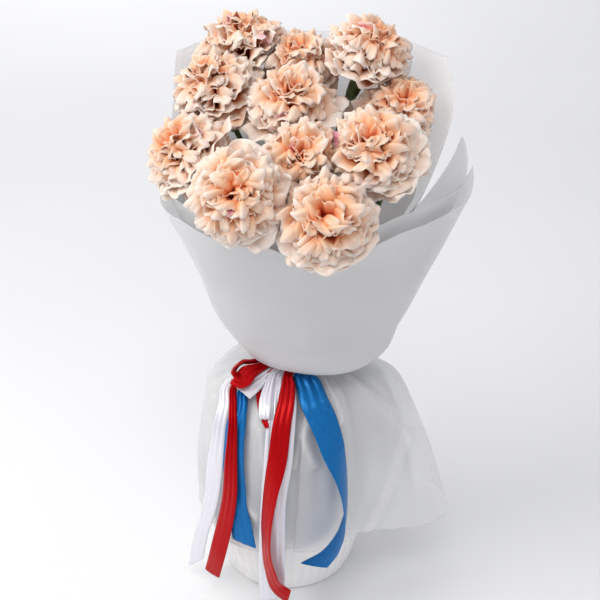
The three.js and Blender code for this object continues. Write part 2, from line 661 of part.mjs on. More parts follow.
/** A ring of ribbon round the tie. */
function makeRing(height) {
  const [low, high] = [height - RING.height / 2, height + RING.height / 2];
  const outer = RING.inner + RIBBON_THICKNESS;
  const outline = [[RING.inner, low], [outer, low], [outer, high], [RING.inner, high], [RING.inner, low]];
  const ring = new THREE.LatheGeometry(outline.map(([x, y]) => new THREE.Vector2(x, y)), RING.sides);
  ring.rotateX(Math.PI / 2);
  ring.translate(TIE.x, TIE.y, 0);
  return solidFromGeometry(ring);
}

/** The knot at the front of a ring. */
function makeKnot(x, height) {
  const knot = new THREE.SphereGeometry(1, 8, 5);
  knot.rotateX(Math.PI / 2);
  knot.scale(...KNOT.half);
  knot.translate(x, TIE.y - RING.inner - KNOT.forward, height);
  return solidFromGeometry(knot);
}

/** The direction a run takes at one of its stops. */
function runDirection(stops, i) {
  const before = vec(...stops[Math.max(i - 1, 0)].slice(0, 3));
  const after = vec(...stops[Math.min(i + 1, stops.length - 1)].slice(0, 3));
  return after.sub(before).normalize();
}

/** The part of a vector that is square to a direction, at length 1. */
const squareTo = (vector, along) => vector.addScaledVector(along, -vector.dot(along)).normalize();

/** Which way a tail's width lies: on the wrap, whose face looks outwards and up, turned about the tail's line. */
function tailAcross([x, y, z, , turn], along) {
  const outwards = vec(x - wrapAxisX(z), y - TIE.y, 0).normalize();
  const face = squareTo(outwards.add(vec(0, 0, 1)), along);
  return face.cross(along).applyAxisAngle(along, radians(turn));
}

/** A strip of ribbon through a run's stops, with its width laid in the direction that the run gives. */
function makeRun(stops, acrossAt) {
  const rows = stops.map((stop, i) => {
    const across = acrossAt(stop, runDirection(stops, i));
    const middle = vec(...stop.slice(0, 3));
    return [-0.5, 0.5].map((side) => middle.clone().addScaledVector(across, side * stop[3]));
  });
  return bladeSolid(rows, RIBBON_THICKNESS);
}

/** A ribbon: its ring and knot, with its tails and loops fused to them. */
function makeRibbon({ ring, knotX, tails, loops }) {
  const loopAcross = (stop, along) => squareTo(vec(...stop.slice(4)), along);
  const runs = [...tails.map((stops) => makeRun(stops, tailAcross)),
    ...loops.map((stops) => makeRun(stops, loopAcross))];
  return runs.reduce((ribbon, run) => ribbon.add(run), makeRing(ring).add(makeKnot(knotX, ring)));
}

// ---------------------------------------------------------------- materials

const material = (color, roughness, extra = {}) => new THREE.MeshStandardMaterial({
  color,
  roughness,
  metalness: 0,
  side: THREE.DoubleSide,
  ...extra,
});
const PETAL = material('#f0c9a8', 0.75);
const GREEN = material('#4f6440', 0.6);
const GLAZE = material('#f2f1ee', 0.25);
const WATER = material('#dfe9ee', 0.05, { transparent: true, opacity: 0.4 });
const SATIN = {
  red: material('#c4101c', 0.35),
  white: material('#e9e7ee', 0.35),
  blue: material('#1c72b4', 0.35),
};
const FILM = material('#e4e3e7', 0.55, { transparent: true, opacity: 0.7 });

// ---------------------------------------------------------------- the object

const bunch = new THREE.Group();

FLOWERS.forEach((flower, i) => {
  const number = String(i + 1).padStart(2, '0');
  bunch.add(meshFrom(`bloom_${number}`, makeBloom(flower, i), PETAL));
  bunch.add(meshFrom(`stem_${number}`, makeStem(flower), GREEN));
});
bunch.add(meshFrom('vase', makeVase(), GLAZE));
bunch.add(meshFrom('water', makeWater(FLOWERS.map(stemLine)), WATER));
bunch.add(meshFrom('film_outer', makeWrap({
  inset: 0,
  waist: 15.0,
  top: 473,
  leftEdge: [[64, 268], [TIE.high, 262], [290, 232], [370, 192], [430, 165], [473, 153]],
  rightEdge: [[64, -86], [TIE.high, -76], [290, -40], [370, -18], [430, -2], [473, 18]],
  flap: 1,
  columns: 16,
}), FILM));
bunch.add(meshFrom('film_inner', makeWrap({
  inset: 3.8,
  waist: 13.7,
  top: 462,
  leftEdge: [[64, 250], [TIE.high, 248], [290, 215], [370, 176], [430, 150], [473, 140]],
  rightEdge: [[64, -96], [TIE.high, -90], [290, -50], [370, 0], [405, 36], [473, 36]],
  flap: 0.6,
  columns: 16,
}), FILM));
bunch.add(meshFrom('film_collar', makeCollar(16), FILM));
for (const [colour, ribbon] of Object.entries(RIBBONS)) {
  bunch.add(meshFrom(`ribbon_${colour}`, makeRibbon(ribbon), SATIN[colour]));
}

export default bunch;
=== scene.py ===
# %% [markdown]
# # A wrapped bunch of carnations
#
# Eleven cream and peach carnations stand in a white fluted vase. Two long sheets of matt translucent film
# and a turned-up film collar wrap them, and red, white and blue satin ribbons tie the bunch at its waist.
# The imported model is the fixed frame: it holds every piece at its place and size as plain solids. This
# lesson puts a fine surface in the place of each solid, one kind of piece at a time, and gives each its
# finish.

# %% Load the frame
import math

import bmesh
import bpy
import numpy as np
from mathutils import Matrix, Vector


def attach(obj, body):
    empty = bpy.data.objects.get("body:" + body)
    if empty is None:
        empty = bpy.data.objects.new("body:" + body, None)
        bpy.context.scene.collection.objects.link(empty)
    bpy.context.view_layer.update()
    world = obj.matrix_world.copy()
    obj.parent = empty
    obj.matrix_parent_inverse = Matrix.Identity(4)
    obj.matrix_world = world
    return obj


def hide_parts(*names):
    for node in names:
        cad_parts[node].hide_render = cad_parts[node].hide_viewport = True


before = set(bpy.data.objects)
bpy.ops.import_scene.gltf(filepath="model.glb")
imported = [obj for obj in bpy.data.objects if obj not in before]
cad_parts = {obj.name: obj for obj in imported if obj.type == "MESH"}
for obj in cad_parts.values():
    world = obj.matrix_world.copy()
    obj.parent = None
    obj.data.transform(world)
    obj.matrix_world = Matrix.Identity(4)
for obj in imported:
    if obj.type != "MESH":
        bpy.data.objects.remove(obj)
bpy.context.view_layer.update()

# %% [markdown]
# ## The camera
#
# The photographer looked down at the bunch from a little above it, with a medium lens. The camera comes
# first, because every later choice is seen through it. Its place and tilt were worked out from the outline
# of the vase's foot and the size of a standard carnation.

# %% Camera
CAMERA_PLACE = (0.0117, -0.829, 0.72)
CAMERA_DOWN = 28.4  # degrees below level
CAMERA_LENS = 66  # millimetres, on a sensor 36 mm wide

camera_data = bpy.data.cameras.new("camera")
camera_data.sensor_width = 36
camera_data.lens = CAMERA_LENS
camera = bpy.data.objects.new("camera", camera_data)
camera.location = CAMERA_PLACE
camera.rotation_euler = (math.radians(90 - CAMERA_DOWN), 0, 0)
bpy.context.scene.collection.objects.link(camera)
bpy.context.scene.camera = camera
print("the camera is at", CAMERA_PLACE, "and looks", CAMERA_DOWN, "degrees down")

# %% [markdown]
# ## Tools for surfaces
#
# Petals, film and ribbon are all thin sheets, and a stem or a vase is a profile carried round an axis. Each
# is a grid of points that numpy works out as one array, so one function can turn any of them into a mesh.
# Curves are given by a few stops, as a florist would measure them, and a cubic joins the stops smoothly.
# Lengths are kept in millimetres while a shape is worked out, and become metres when the mesh is made.

# %% From a grid of points to a piece
MM = 0.001  # metres in a millimetre


def grid_faces(rows, columns, closed=False, copies=1):
    """Quads of a grid of points, row after row. closed joins the last column to the first, and copies
    repeats the grid for a stack of like surfaces."""
    index = np.arange(rows * columns).reshape(rows, columns)
    if closed:
        index = np.concatenate([index, index[:, :1]], axis=1)
    quads = np.stack([index[:-1, :-1], index[:-1, 1:], index[1:, 1:], index[1:, :-1]], axis=-1).reshape(-1, 4)
    return (quads + rows * columns * np.arange(copies)[:, None, None]).reshape(-1, 4)


def full_turn(count):
    """The angles of a whole turn in count even steps, in radians."""
    return np.linspace(0, 2 * np.pi, count, endpoint=False)


def surface_of(points, u, v, closed=False):
    """A grid of points as (points, faces, uv), with u and v spread over it. Like grids may be stacked in
    front of it, as the petals of a head are."""
    rows, columns = points.shape[-3:-1]
    faces = grid_faces(rows, columns, closed, copies=points.size // (3 * rows * columns))
    uv = np.stack(np.broadcast_arrays(u, v, points[..., 0])[:2], axis=-1)
    return points.reshape(-1, 3), faces, uv.reshape(-1, 2)


def capped_tube(rings, ends):
    """Rings of points as a surface that closes on a point at either end, by a ring of like points there."""
    caps = [np.broadcast_to(end, rings[:1].shape) for end in ends]
    points = np.concatenate([caps[0], rings, caps[1]])
    u = full_turn(rings.shape[1]) / (2 * np.pi)
    return surface_of(points, u, np.linspace(0, 1, len(points))[:, None], closed=True)


def join(*surfaces):
    """Several (points, faces, uv) surfaces as one. The faces of each count on from the points before it."""
    starts = np.cumsum([0] + [len(points) for points, _, _ in surfaces[:-1]])
    points = np.concatenate([points for points, _, _ in surfaces])
    faces = np.concatenate([faces + start for (_, faces, _), start in zip(surfaces, starts)])
    return points, faces, np.concatenate([uv for _, _, uv in surfaces])


def make_piece(name, surface, material, nodes, attributes=None, weld=False):
    """Builds a named mesh object from (points in mm, faces, uv), in the place of the CAD nodes given."""
    points, faces, uv = surface
    mesh = bpy.data.meshes.new(name)
    mesh.from_pydata((points * MM).tolist(), [], faces.tolist())
    layer = mesh.uv_layers.new(name="UVMap")
    corners = np.empty(len(mesh.loops), dtype=np.int32)
    mesh.loops.foreach_get("vertex_index", corners)
    layer.data.foreach_set("uv", uv[corners].astype(np.float32).ravel())
    for attribute, values in (attributes or {}).items():
        data = mesh.attributes.new(attribute, "FLOAT", "POINT").data
        data.foreach_set("value", np.ascontiguousarray(values, dtype=np.float32).ravel())
    mesh.shade_smooth()
    mesh.materials.append(material)
    piece = bpy.data.objects.new(name, mesh)
    bpy.context.scene.collection.objects.link(piece)
    if weld:
        close_poles(mesh)
    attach(piece, "root")
    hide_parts(*nodes)
    return piece


def close_poles(mesh):
    """Merges the points that lie together at a pole or a seam, so that the surface is closed there."""
    work = bmesh.new()
    work.from_mesh(mesh)
    bmesh.ops.remove_doubles(work, verts=work.verts, dist=1e-6)
    bmesh.ops.recalc_face_normals(work, faces=work.faces)
    work.to_mesh(mesh)
    work.free()


def area_of(piece):
    """The area of a piece's own faces in square metres, before any modifier."""
    return round(sum(face.area for face in piece.data.polygons), 4)


def thicken(piece, thickness):
    """Gives a thin sheet its real thickness in mm, half to each side."""
    solidify = piece.modifiers.new("thickness", "SOLIDIFY")
    solidify.thickness = thickness * MM
    solidify.offset = 0
    return piece


# %% Curves through a few stops
def hermite(before, after, slope_before, slope_after, step, share):
    """A cubic between two values that leaves and arrives with the given slopes. share runs from 0 to 1."""
    rest = 1 - share
    ends = before * (1 + 2 * share) * rest**2 + after * share**2 * (3 - 2 * share)
    return ends + step * share * rest * (slope_before * rest - slope_after * share)


def ramp(stops, at):
    """A smooth curve through (position, value) stops that never swings past a stop: the slope at each stop
    is the harmonic mean of its neighbours' slopes, or 0 at a peak. Level past the ends."""
    place, value = np.array(stops, dtype=float).T
    rises = np.diff(value) / np.diff(place)
    slope = np.concatenate([rises[:1], np.zeros(len(place) - 2), rises[-1:]])
    product = rises[:-1] * rises[1:]
    steady = product > 0
    slope[1:-1][steady] = 2 * product[steady] / (rises[:-1] + rises[1:])[steady]
    at = np.clip(at, place[0], place[-1])
    i = np.clip(np.searchsorted(place, at) - 1, 0, len(rises) - 1)
    step = place[i + 1] - place[i]
    return hermite(value[i], value[i + 1], slope[i], slope[i + 1], step, (at - place[i]) / step)


def spline(stops, count):
    """A smooth line through rows of numbers, at count even steps along its length. The line leaves each stop
    along the average of the two straight lines that meet there."""
    stops = np.array(stops, dtype=float)
    place = np.concatenate([[0], np.cumsum(np.linalg.norm(np.diff(stops[:, :3], axis=0), axis=1))])
    slope = np.gradient(stops, place, axis=0)
    at = np.linspace(0, place[-1], count)
    i = np.clip(np.searchsorted(place, at, side="right") - 1, 0, len(place) - 2)
    step = (place[i + 1] - place[i])[:, None]
    return hermite(stops[i], stops[i + 1], slope[i], slope[i + 1], step, (at - place[i])[:, None] / step)


def smooth_step(low, high, x):
    """0 below low, 1 above high, and an S-curve between them."""
    share = np.clip((x - low) / (high - low), 0, 1)
    return share * share * (3 - 2 * share)


def bump(azimuth, centre, half_width):
    """A smooth hump of height 1 at a centre azimuth, falling to 0 at half_width degrees either side."""
    away = np.abs((azimuth - centre + 540) % 360 - 180) / half_width
    return np.where(away < 1, 0.5 + 0.5 * np.cos(np.pi * np.minimum(away, 1)), 0)


def unit(vectors):
    """The same directions at length 1."""
    return vectors / np.linalg.norm(vectors, axis=-1, keepdims=True)


print("surface tools ready")

# %% [markdown]
# ## Tools for finishes
#
# A colour is written as the sRGB hex value that a colour picker shows, and Blender's shaders want it
# linear, so one function turns it. Another adds a node, sets it up and links it, and every material is made
# with those two. Most real finishes are a little uneven, so a third mottles a finish in colour and relief.

# %% Colours and nodes
def linear(hex_colour):
    """An sRGB hex colour as the linear RGBA that a shader takes."""
    values = [int(hex_colour[i:i + 2], 16) / 255 for i in (1, 3, 5)]
    return (*[v / 12.92 if v <= 0.04045 else ((v + 0.055) / 1.055) ** 2.4 for v in values], 1.0)


def add_node(tree, kind, settings=None, inputs=None, stops=()):
    """Adds a node of a kind. settings are its properties, inputs are values or the sockets to link to it,
    and stops are the (position, hex colour) pairs of a colour ramp."""
    node = tree.nodes.new(kind)
    for name, value in (settings or {}).items():
        setattr(node, name, value)
    for name, value in (inputs or {}).items():
        if isinstance(value, bpy.types.NodeSocket):
            tree.links.new(value, node.inputs[name])
        else:
            node.inputs[name].default_value = value
    if stops:
        elements = node.color_ramp.elements
        for position, colour in stops[1:-1]:
            elements.new(position).color = linear(colour)
        for end in (0, -1):
            elements[end].position = stops[end][0]
            elements[end].color = linear(stops[end][1])
    return node


def new_material(name, **numbers):
    """A material with one Principled shader, whose plain numbers are set straight on its sockets."""
    material = bpy.data.materials.new(name)
    material.use_nodes = True
    shader = material.node_tree.nodes["Principled BSDF"]
    for socket, value in numbers.items():
        shader.inputs[socket.replace("_", " ")].default_value = value
    return material, material.node_tree, shader


def mottle(tree, shader, place, scale, detail=2.0, stops=(), strength=0.0, depth=0.0):
    """Soft noise over the given coordinates. It colours the shader through a ramp of stops, and lifts its
    surface by up to depth metres. Either may be left out."""
    noise = add_node(tree, "ShaderNodeTexNoise", inputs={"Vector": place, "Scale": scale, "Detail": detail})
    height = noise.outputs["Fac"]
    if stops:
        colour = add_node(tree, "ShaderNodeValToRGB", inputs={"Fac": height}, stops=stops)
        tree.links.new(colour.outputs["Color"], shader.inputs["Base Color"])
    if strength:
        relief = add_node(tree, "ShaderNodeBump",
                          inputs={"Height": height, "Strength": strength, "Distance": depth})
        tree.links.new(relief.outputs["Normal"], shader.inputs["Normal"])
    return height


print("finish tools ready")

# %% [markdown]
# ## Petal finish
#
# A carnation petal is a thin, soft, matt sheet that lets a little light through. These are cream at their
# waved margins and warm to deep peach towards their roots. The deepest peach, down in the crevices of a
# head, is painted shade for the light that bounces between neighbouring petals, and the palest rims are
# partly a painted highlight. Fine veins fan out along each petal. Every petal carries its own tone and
# painted light and its own veins, so the colour is read from attributes that numpy writes with the shape,
# and the veins from the petal's own UV.

# %% Petal material
PETAL_VEINS = 34  # veins across a petal about 25 mm wide; real ones are finer than the render shows
VEIN_CONTRAST = 0.16
# The ramp from deep peach to cream: its deep end is mostly painted shade for the crevices of a head, and its
# palest end partly a painted highlight on the rims.
PETAL_COLOURS = [(0.0, "#d8521f"), (0.22, "#ea7c40"), (0.42, "#f0a170"), (0.62, "#f3c3a0"),
                 (0.82, "#f5dac8"), (1.0, "#f8ebe2")]
FLECK_COLOUR = "#d24f86"


def petal_material():
    """Carnation petal: cream margin, peach throat, faint veins, with painted shade down in the head and a
    partly painted highlight on the rims. Soft, matt and a little translucent.
    """
    material, tree, shader = new_material("petal_cream_peach", Roughness=0.62, IOR=1.4, Subsurface_Weight=0.2,
                                          Subsurface_Scale=0.0006, Subsurface_Radius=(1.0, 0.7, 0.5),
                                          Sheen_Weight=0.12, Sheen_Roughness=0.5)
    # The petal's tone, with its painted shade and painted rim highlight, is read from an attribute.
    tone_and_painted_light = add_node(tree, "ShaderNodeAttribute", {"attribute_name": "tone_and_painted_light"})
    fleck = add_node(tree, "ShaderNodeAttribute", {"attribute_name": "fleck"})
    place = add_node(tree, "ShaderNodeUVMap", {"uv_map": "UVMap"})
    fan = add_node(tree, "ShaderNodeMapping",
                   inputs={"Vector": place.outputs["UV"], "Scale": (PETAL_VEINS, 1.2, 1)})
    veins = mottle(tree, shader, fan.outputs["Vector"], 1.0, strength=0.35, depth=0.0004)
    streaked = add_node(tree, "ShaderNodeMath", {"operation": "MULTIPLY_ADD"},
                        {0: veins, 1: VEIN_CONTRAST, 2: tone_and_painted_light.outputs["Fac"]})
    cream = add_node(tree, "ShaderNodeValToRGB", inputs={"Fac": streaked.outputs["Value"]},
                     stops=PETAL_COLOURS)
    flecked = add_node(tree, "ShaderNodeMix", {"data_type": "RGBA"},
                       {0: fleck.outputs["Fac"], 6: cream.outputs["Color"], 7: linear(FLECK_COLOUR)})
    tree.links.new(flecked.outputs[2], shader.inputs["Base Color"])
    return material


PETAL_FINISH = petal_material()
print("petal finish:", PETAL_FINISH.name)

# %% [markdown]
# ## The blooms
#
# A carnation head holds forty to sixty petals. Each is a fan on a narrow claw, with a margin much longer
# than the petal is wide, so it ruffles, and its tip rolls outwards. The guard petals at the base lie almost
# level, and each layer above stands steeper, up to the crest. The heads are pressed together in the bunch,
# so each gives way where it meets its neighbour.
#
# A petal could be sculpted or simulated as cloth. A formula is better here: all petals of a head are one
# array, and each petal gets its own ruffle, roll and tilt from a few numbers of a seeded generator.

# %% The heads: centre, radius and the way each faces, in mm
FLOWERS = [
    ((-35, 62, 478), 37, (-0.25, 0.0, 0.96)),
    ((11, 46, 466), 34, (-0.05, -0.3, 0.95)),
    ((68, 40, 477), 38, (0.35, -0.1, 0.93)),
    ((-57, 20, 455), 36, (-0.35, -0.25, 0.9)),
    ((5, -5, 451), 36, (0.0, -0.4, 0.92)),
    ((92, 15, 436), 37, (0.1, -0.5, 0.86)),
    ((-78, -30, 419), 35, (-0.5, -0.35, 0.79)),
    ((14, -55, 422), 35, (0.0, -0.6, 0.8)),
    ((66, -60, 432), 37, (-0.2, -0.5, 0.84)),
    ((-34, -95, 411), 37, (-0.15, -0.82, 0.55)),
    ((30, -105, 396), 37, (0.02, -0.7, 0.71)),
]
ORIGIN_DEPTH = 0.42  # how far below a head's centre its petals fan out from, in radii

# Layers from the guard petals to the crest: count, rise in degrees, half-width and length in radii, waves
# across a petal, ruffle in radii, how far the petal cups round the head, and how far its tip rolls out in
# degrees.
PETAL_LAYERS = [
    (6, 5, 0.58, 1.00, 1.9, 0.07, 0.2, 20),
    (7, 17, 0.52, 0.99, 2.2, 0.11, 0.4, 35),
    (8, 30, 0.47, 1.00, 2.5, 0.14, 0.6, 50),
    (8, 43, 0.43, 1.04, 2.6, 0.14, 1.0, 72),
    (8, 55, 0.40, 1.06, 2.6, 0.15, 1.1, 75),
    (7, 66, 0.37, 1.07, 2.4, 0.15, 1.2, 70),
    (6, 76, 0.33, 1.06, 2.2, 0.14, 1.2, 60),
    (5, 84, 0.28, 1.02, 2.0, 0.13, 1.2, 45),
]
# Broad guard petals that stand out of single heads: rise, azimuth from the right as the camera sees it,
# half-width and length in radii, how far the tip rolls, and its level. Those below level 0 are paler.
GUARDS = {
    1: [(12, 290, 0.62, 1.15, 30, -0.6), (20, 330, 0.55, 1.12, 40, -0.6)],
    2: [(35, 60, 0.50, 1.15, 40, 0.3), (8, 320, 0.50, 1.15, 20, -0.6)],
    3: [(5, 262, 0.50, 1.30, 10, -0.3), (10, 350, 0.60, 1.20, 60, -0.6), (10, 200, 0.55, 1.15, 50, -0.6)],
    4: [(14, 5, 0.62, 1.22, 30, -1.0), (2, 315, 0.60, 1.32, 15, -1.0)],
    5: [(18, 340, 0.62, 1.20, 30, -0.8), (4, 215, 0.50, 1.20, 20, -0.3)],
    6: [(12, 200, 0.55, 1.20, 40, -0.8), (5, 300, 0.55, 1.20, 40, -0.6), (15, 40, 0.50, 1.15, 50, -0.6)],
    7: [(26, 322, 0.80, 1.22, 0, 0.3), (10, 270, 0.60, 1.10, 10, 0.3)],
    8: [(20, 215, 0.55, 1.15, 30, -0.3), (10, 330, 0.55, 1.15, 30, -0.6)],
    9: [(12, 352, 0.60, 1.14, 15, -0.7), (10, 315, 0.60, 1.10, 15, -1.0), (22, 20, 0.52, 1.12, 30, -0.7),
        (12, 110, 0.58, 1.10, 30, -0.9)],
    10: [(14, 315, 0.75, 1.10, 10, -1.0), (14, 275, 0.62, 1.00, 15, -0.8), (18, 350, 0.60, 1.10, 30, 0.6),
         (12, 225, 0.55, 1.00, 30, -0.6)],
    11: [(14, 262, 0.70, 1.00, 20, -1.0), (14, 305, 0.70, 1.06, 10, -1.0), (12, 215, 0.60, 1.06, 20, -0.9),
         (22, 30, 0.60, 1.08, 25, -0.3)],
}
PETAL_POINTS = (15, 35)  # rows along a petal, and points across it
PETAL_THICKNESS = 0.35
CLAW = 0.12  # where a petal's blade starts, as a share of its length
CLAW_WIDTH = 0.14  # its width there, as a share of the widest
CORNERS_CUT = 0.34  # how much shorter a petal is at its sides than at its middle, as a share
TEETH_DEPTH = 0.008  # the small teeth of its margin, as a share of its length
FRILL = 0.28  # the small waves at its margin, as a share of the large ones
FAN_SPREAD = 1.45  # half the angle, in radians, over which a petal's ribs fan out


# %% A few numbers for each petal
GUARD_WAVES, GUARD_RUFFLE, GUARD_CUP = 3.2, 0.06, 0.3
STEEPEST = 88  # degrees that a petal may rise


def draw_petals(number):
    """The numbers of every petal of a head, as columns ready to spread over the petals' grids."""
    rng = np.random.default_rng(number)
    rows = []

    def draw(azimuth, rise, width, length, waves, ruffle, cup, roll, level):
        rows.append((azimuth, min(rise, STEEPEST), width, length, waves * rng.uniform(0.8, 1.25),
                     ruffle * rng.uniform(0.7, 1.3), cup, roll * rng.uniform(0.6, 1.3), rng.uniform(-14, 14),
                     rng.uniform(0, 2 * np.pi), rng.uniform(0, 2 * np.pi), level, rng.uniform(0, 1)))

    for level, (count, rise, width, length, waves, ruffle, cup, roll) in enumerate(PETAL_LAYERS):
        first = rng.uniform(0, 360)
        for k in range(count):
            draw(first + 360 * k / count + rng.uniform(-11, 11), rise + rng.uniform(-7, 7),
                 width * rng.uniform(0.8, 1.2), length * rng.uniform(0.9, 1.08), waves, ruffle, cup, roll,
                 level / (len(PETAL_LAYERS) - 1))
    for rise, azimuth, width, length, roll, level in GUARDS[number]:
        draw(azimuth, rise, width, length, GUARD_WAVES, GUARD_RUFFLE, GUARD_CUP, roll, level)
    return np.array(rows).T[:, :, None, None]


# %% All the petals of a head
def petal_points(radius, drawn):
    """Points of a head's petals about its centre, with the head's axis up: (petal, row, point, xyz).

    Along a petal the centre line is straight at first and then rolls out, so its direction turns by roll
    degrees over the outer half, and the line is the running sum of that direction. Across it, a point lies
    width x u to the side. A wave of u lifts it off the surface, more and more towards the margin, and the
    sides rise with the square of their distance, which cups the petal round the head. Its ribs fan out, so
    they crowd together at its sides, with the sine of FAN_SPREAD x u."""
    azimuth, rise, width, length, waves, ruffle, cup, roll, twist, phase, second, level, _ = drawn
    azimuth, rise, roll, twist = (np.radians(angle) for angle in (azimuth, rise, roll, twist))
    rows, across = PETAL_POINTS
    u = np.linspace(-1, 1, across)[None, None, :]
    along = np.linspace(0, 1, rows)[None, :, None]
    outline = 1 - CORNERS_CUT * np.abs(u) ** 3.2 + 0.035 * np.sin(0.9 * np.pi * waves * u + second)
    teeth = TEETH_DEPTH * np.abs(np.sin(7 * np.pi * u + second))
    wave = np.pi * waves * u + phase
    s = CLAW + (1 - CLAW) * along * (outline - teeth)
    turn = -roll * smooth_step(0.55, 1.0, along + 0 * s) * (1 + 0.5 * np.sin(wave))
    middle = (turn[:, 1:] + turn[:, :-1]) / 2
    step = np.diff(s, axis=1)
    forward = s[:, :1] + np.cumsum(np.concatenate([0 * s[:, :1], np.cos(middle) * step], axis=1), axis=1)
    drop = np.cumsum(np.concatenate([0 * s[:, :1], np.sin(middle) * step], axis=1), axis=1)
    grown = smooth_step(0.15, 1, along + 0 * s)
    frill = FRILL * smooth_step(0.5, 1, along) * np.sin(2.6 * wave + second)
    lift = ruffle * (grown * np.sin(wave) + frill)
    fan = width * (CLAW_WIDTH + (1 - CLAW_WIDTH) * np.sin(0.5 * np.pi * np.minimum(along * 1.05, 1)) ** 1.1)
    side = fan * np.sin(FAN_SPREAD * u) / np.sin(FAN_SPREAD) - 0.14 * ruffle * grown * np.sin(2 * wave)
    cupped = 0.6 * cup * np.minimum(np.tan(rise), 2.2) * side**2 + np.sin(twist) * side
    scale = length * radius
    out = scale * (forward - np.sin(turn) * lift)
    up = scale * (drop + np.cos(turn) * lift + cupped)
    side = scale * side
    cos_a, sin_a, cos_r, sin_r = np.cos(azimuth), np.sin(azimuth), np.cos(rise), np.sin(rise)
    x = out * cos_r * cos_a - side * sin_a - up * sin_r * cos_a
    y = out * cos_r * sin_a + side * cos_a - up * sin_r * sin_a
    z = out * sin_r + up * cos_r - ORIGIN_DEPTH * radius
    return np.stack([x, y, z], axis=-1), u + 0 * s, along + 0 * s


def facing_matrix(facing):
    """Rows that turn the +Z axis to a facing: the facing is the third, and the first lies across it."""
    axis = unit(np.array(facing))
    across = unit(np.cross([0.0, 1.0, 0.0], axis))
    return np.stack([across, np.cross(axis, across), axis])


# %% Heads pressed together
PETAL_OVERLAP = 2.5  # how far the petals of two heads reach between each other
PETAL_REACH = 1.35  # no petal reaches farther from its head's centre than this, in radii
ASIDE = 0.05  # a neighbour doesn't press on petals that point less its way than this, as a cosine
WRAP_FROM = -30  # azimuth from which, leftwards round the back, the film presses on the heads
WRAP_PRESS = 10.5  # how far inside the film's mean radius the blooms keep
WRAP_RADIUS = [(64, 85), (110, 86), (188, 77), (204, 64), (216, 41), (226, 15), (246, 15), (290, 46),
               (330, 70), (380, 97), (430, 111), (473, 121)]
WRAP_AXIS = [(190, 0), (226, 12), (246, 12), (475, 16)]


def press_heads(points, flower):
    """Presses a head's points towards its centre where a neighbouring head presses back, up to the plane
    between the two, and in from the film where it stands behind the bunch."""
    centre, radius, _ = flower
    offset = points - centre
    distance = np.maximum(np.linalg.norm(offset, axis=-1), 1e-6)
    limit = np.full(distance.shape, PETAL_REACH * radius)
    for other, other_radius, _ in FLOWERS:
        between = np.subtract(other, centre).astype(float)
        apart = np.linalg.norm(between)
        if apart == 0:
            continue
        wall = (apart**2 + radius**2 - other_radius**2) / (2 * apart) + PETAL_OVERLAP
        facing = offset @ between / (distance * apart)
        limit = np.where(facing > ASIDE, np.minimum(limit, wall / np.maximum(facing, ASIDE)), limit)
    pressed = centre + offset * np.minimum(1, limit / np.maximum(radius, distance))[..., None]
    axis_x = np.interp(pressed[..., 2], *np.array(WRAP_AXIS).T)
    x, y = pressed[..., 0] - axis_x, pressed[..., 1]
    out = np.hypot(x, y)
    wall = ramp(WRAP_RADIUS, pressed[..., 2]) - WRAP_PRESS
    behind = (np.degrees(np.arctan2(y, x)) > WRAP_FROM) & (out > wall)
    shrink = np.where(behind, wall / np.maximum(out, 1), 1)
    return np.stack([axis_x + x * shrink, y * shrink, pressed[..., 2]], axis=-1)


# %% Grow every bloom
FLECKED = 0.965  # petals whose mood, from 0 to 1, is above this carry a pink fleck near the tip


def make_bloom(number, flower):
    """One head: its petals, pressed among its neighbours. Each point's tone and painted light goes from 0,
    deep peach, to 1, cream. It grows away from the head's centre, which is painted shade: points down in the
    head's crevices are painted deeper peach. It grows along the petal, partly the petal's own cream-to-peach
    colour and partly painted shade towards its hidden root, and most of all at its margin, where the pale rim
    is partly a painted highlight. It falls a little from the guard petals to the crest, and differs from
    petal to petal."""
    centre, radius, facing = flower
    drawn = draw_petals(number)
    local, u, along = petal_points(radius, drawn)
    placed = press_heads(local @ facing_matrix(facing) + centre, flower)
    level, mood = drawn[11], drawn[12]
    depth = np.linalg.norm(placed - centre, axis=-1) / radius
    # The depth term paints shade deep in the head, and the margin term a partly painted highlight on the
    # rims.
    tone_and_painted_light = (0.36 * smooth_step(0.35, 0.95, depth) + 0.50 * smooth_step(0.35, 0.92, along) - 0.05 * level
             + 0.16 * smooth_step(0.9, 1.0, along) + 0.16 * (mood - 0.5) - 0.08)
    fleck = np.where(mood > FLECKED, 0.8, 0) * np.exp(-((u - 0.2) ** 2) / 0.05 - (along - 0.9) ** 2 / 0.01)
    surface = surface_of(placed, u * 0.5 + 0.5 + 3 * mood, along)
    piece = make_piece(f"carnation_{number:02d}", surface, PETAL_FINISH, [f"bloom_{number:02d}"],
                       {"tone_and_painted_light": tone_and_painted_light, "fleck": fleck})
    thicken(piece, PETAL_THICKNESS)
    print(piece.name, "has", len(placed), "petals and", len(piece.data.polygons), "faces")


for number, flower in enumerate(FLOWERS, start=1):
    make_bloom(number, flower)

# %% [markdown]
# ## Stems, leaves and calyces
#
# A cut carnation stands on a round green stem about 5 mm thick, with a swollen joint where a pair of
# narrow, pointed, waxy leaves clasps it, and a ribbed calyx with five teeth holds the petals. The stems
# lean together at the tie and spread below it to their feet on the vase's floor. A tube is a circle carried
# along a line, so a stem is one grid, with its radius read from a few stops, and the calyx is the top of
# the same tube.

# %% Leaf and stem finish
def greenery_material():
    """Carnation stem and leaf: grey-green under a waxy bloom, which gives it a soft satin gloss."""
    material, tree, shader = new_material("stem_waxy_green", Roughness=0.45, IOR=1.45, Coat_Weight=0.1,
                                          Coat_Roughness=0.4)
    place = add_node(tree, "ShaderNodeTexCoord").outputs["Object"]
    greens = [(0.3, "#34451f"), (0.5, "#4a6332"), (0.7, "#6d8455")]
    mottle(tree, shader, place, 90.0, 4.0, greens, strength=0.2, depth=0.0005)
    return material


GREENERY_FINISH = greenery_material()

